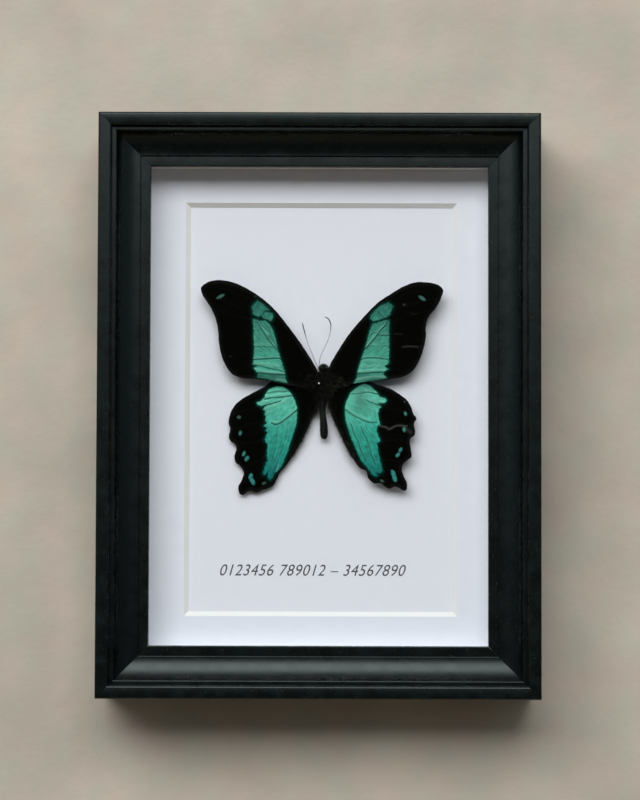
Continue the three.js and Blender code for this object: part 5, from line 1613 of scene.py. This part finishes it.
ground = blend(tree, calc(tree, "MULTIPLY", span(tree, streaks, 0.4, 0.8), 0.35),
               rgb(*BLACK_SCALES), rgb(*BROWN_SCALES))
ground = blend(tree, calc(tree, "MULTIPLY", mark("vein"), 0.5), ground, rgb(*BROWN_SCALES))
ground = blend(tree, calc(tree, "MULTIPLY", dusting, 0.6), ground, rgb(*DUSTED_SCALES))
ground = blend(tree, span(tree, ragged, -1.1, -0.1, 0.0, 0.85, smooth=True), ground,
               rgb(*PATCH_SHADE))
margin = calc(tree, "MULTIPLY", span(tree, mark("border"), 0.1, 1.7, 1.0, 0.0, smooth=True),
              span(tree, grain["Mottle"], *NOISE_RANGE, 0.4, 1.0))
ground = blend(tree, margin, ground, rgb(*MARGIN_SCALES))
spotted = calc(tree, "ADD", mark("spot"), calc(
    tree, "MULTIPLY", calc(tree, "SUBTRACT", speck["Height"], 0.5), 0.8))
in_spot = calc(tree, "MULTIPLY", span(tree, spotted, -0.12, 0.22, smooth=True),
               calc(tree, "MULTIPLY", span(tree, mark("green"), 0.0, 0.5, 0.3, 0.95),
                    span(tree, feather, 0.32, 0.5, 0.35, 1.0)))
spot_colour = blend(tree, mark("green"), rgb(*DULL_SPOT), rgb(*TEAL_SPOT))
scales = blend(tree, in_patch, blend(tree, in_spot, ground, spot_colour), green_colour)
# worn scales, and on the right hindwing a painted reflection of glare on the glass
worn = calc(tree, "MULTIPLY", mark("rub_and_reflection"), span(tree, speck["Height"], 0.35, 0.6, 0.5, 1.0))
dress(tree, surface, blend(tree, worn, scales, rgb(*PALE_WEAR_AND_REFLECTION)),
      span(tree, in_patch, 0.0, 1.0, 0.78, 0.62))
rows = calc(tree, "ADD", feather, calc(tree, "MULTIPLY", speck["Height"], 0.6))
bump(tree, surface, rows, SCALE_RELIEF)

membranes = {}
for name, plan in WINGS.items():
    membranes[name] = wing(f"scaled_{name}", plan)
    membranes[name].data.materials.append(wing_scales)
    fit(membranes[name], "wing_scales", name)

# Long hair runs out over the wing roots and fringes the hindwings' inner margins.
for side, outwards in (("left", -1), ("right", 1)):
    coat(f"forewing_hair_{side}", membranes[f"forewing_{side}"],
         lambda p: outwards * (p.x - BODY_X) < ROOT_HAIR_REACH - abs(p.z + 1) and p.z < 4,
         density=13 * PER_MM2, length=1.9 * MM, thickness=0.045 * MM, stand=0.35,
         comb=Vector((outwards * 0.7, -0.1, -0.6)), stray=0.5)
    margin_path = [(BODY_X + outwards * x, z) for x, z in INNER_MARGIN]
    coat(f"hindwing_hair_{side}", membranes[f"hindwing_{side}"],
         lambda p: p.z < -1.5 and distance_to(np.array([[p.x, p.z]]), margin_path)[0] < 1.1,
         density=15 * PER_MM2, length=1.25 * MM, thickness=0.036 * MM, stand=0.25,
         comb=Vector((outwards * -0.55, 0, -0.8)), stray=0.35)

# ---- Pin ---------------------------------------------------------------------------------
# A stainless insect pin with a small rolled head. It goes down through the thorax, a little
# to the left of its middle, and into the mount board.

PIN_RADIUS = 0.25 * MM
PIN_HEAD_RADIUS = 0.42 * MM
PIN_POINT = 0.5 * MM
PIN_STEEL_LIGHT = (0.70, 0.70, 0.69)
PIN_STEEL_SHADE = (0.52, 0.52, 0.52)

bright_steel = sheet_steel("bright_steel", PIN_STEEL_LIGHT, PIN_STEEL_SHADE, 0.16, 0.3,
                           (0.2, 2.0, 0.2))
head_y = PIN_LOW.y + PIN_HEAD_RADIUS
pin_ball = [(PIN_HEAD_RADIUS * math.sin(a), head_y - PIN_HEAD_RADIUS * math.cos(a))
            for a in np.linspace(0, math.pi, 17)[1:-2]]
pin = turned("insect_pin", [
    (0, PIN_LOW.y), *pin_ball, (PIN_RADIUS, head_y + PIN_HEAD_RADIUS),
    (PIN_RADIUS, PIN_HIGH.y - PIN_POINT), (0, PIN_HIGH.y)], PIN, 24)
pin.data.materials.append(bright_steel)
face_out(pin, math.radians(40))
fit(pin, "pin_steel", "specimen_pin")
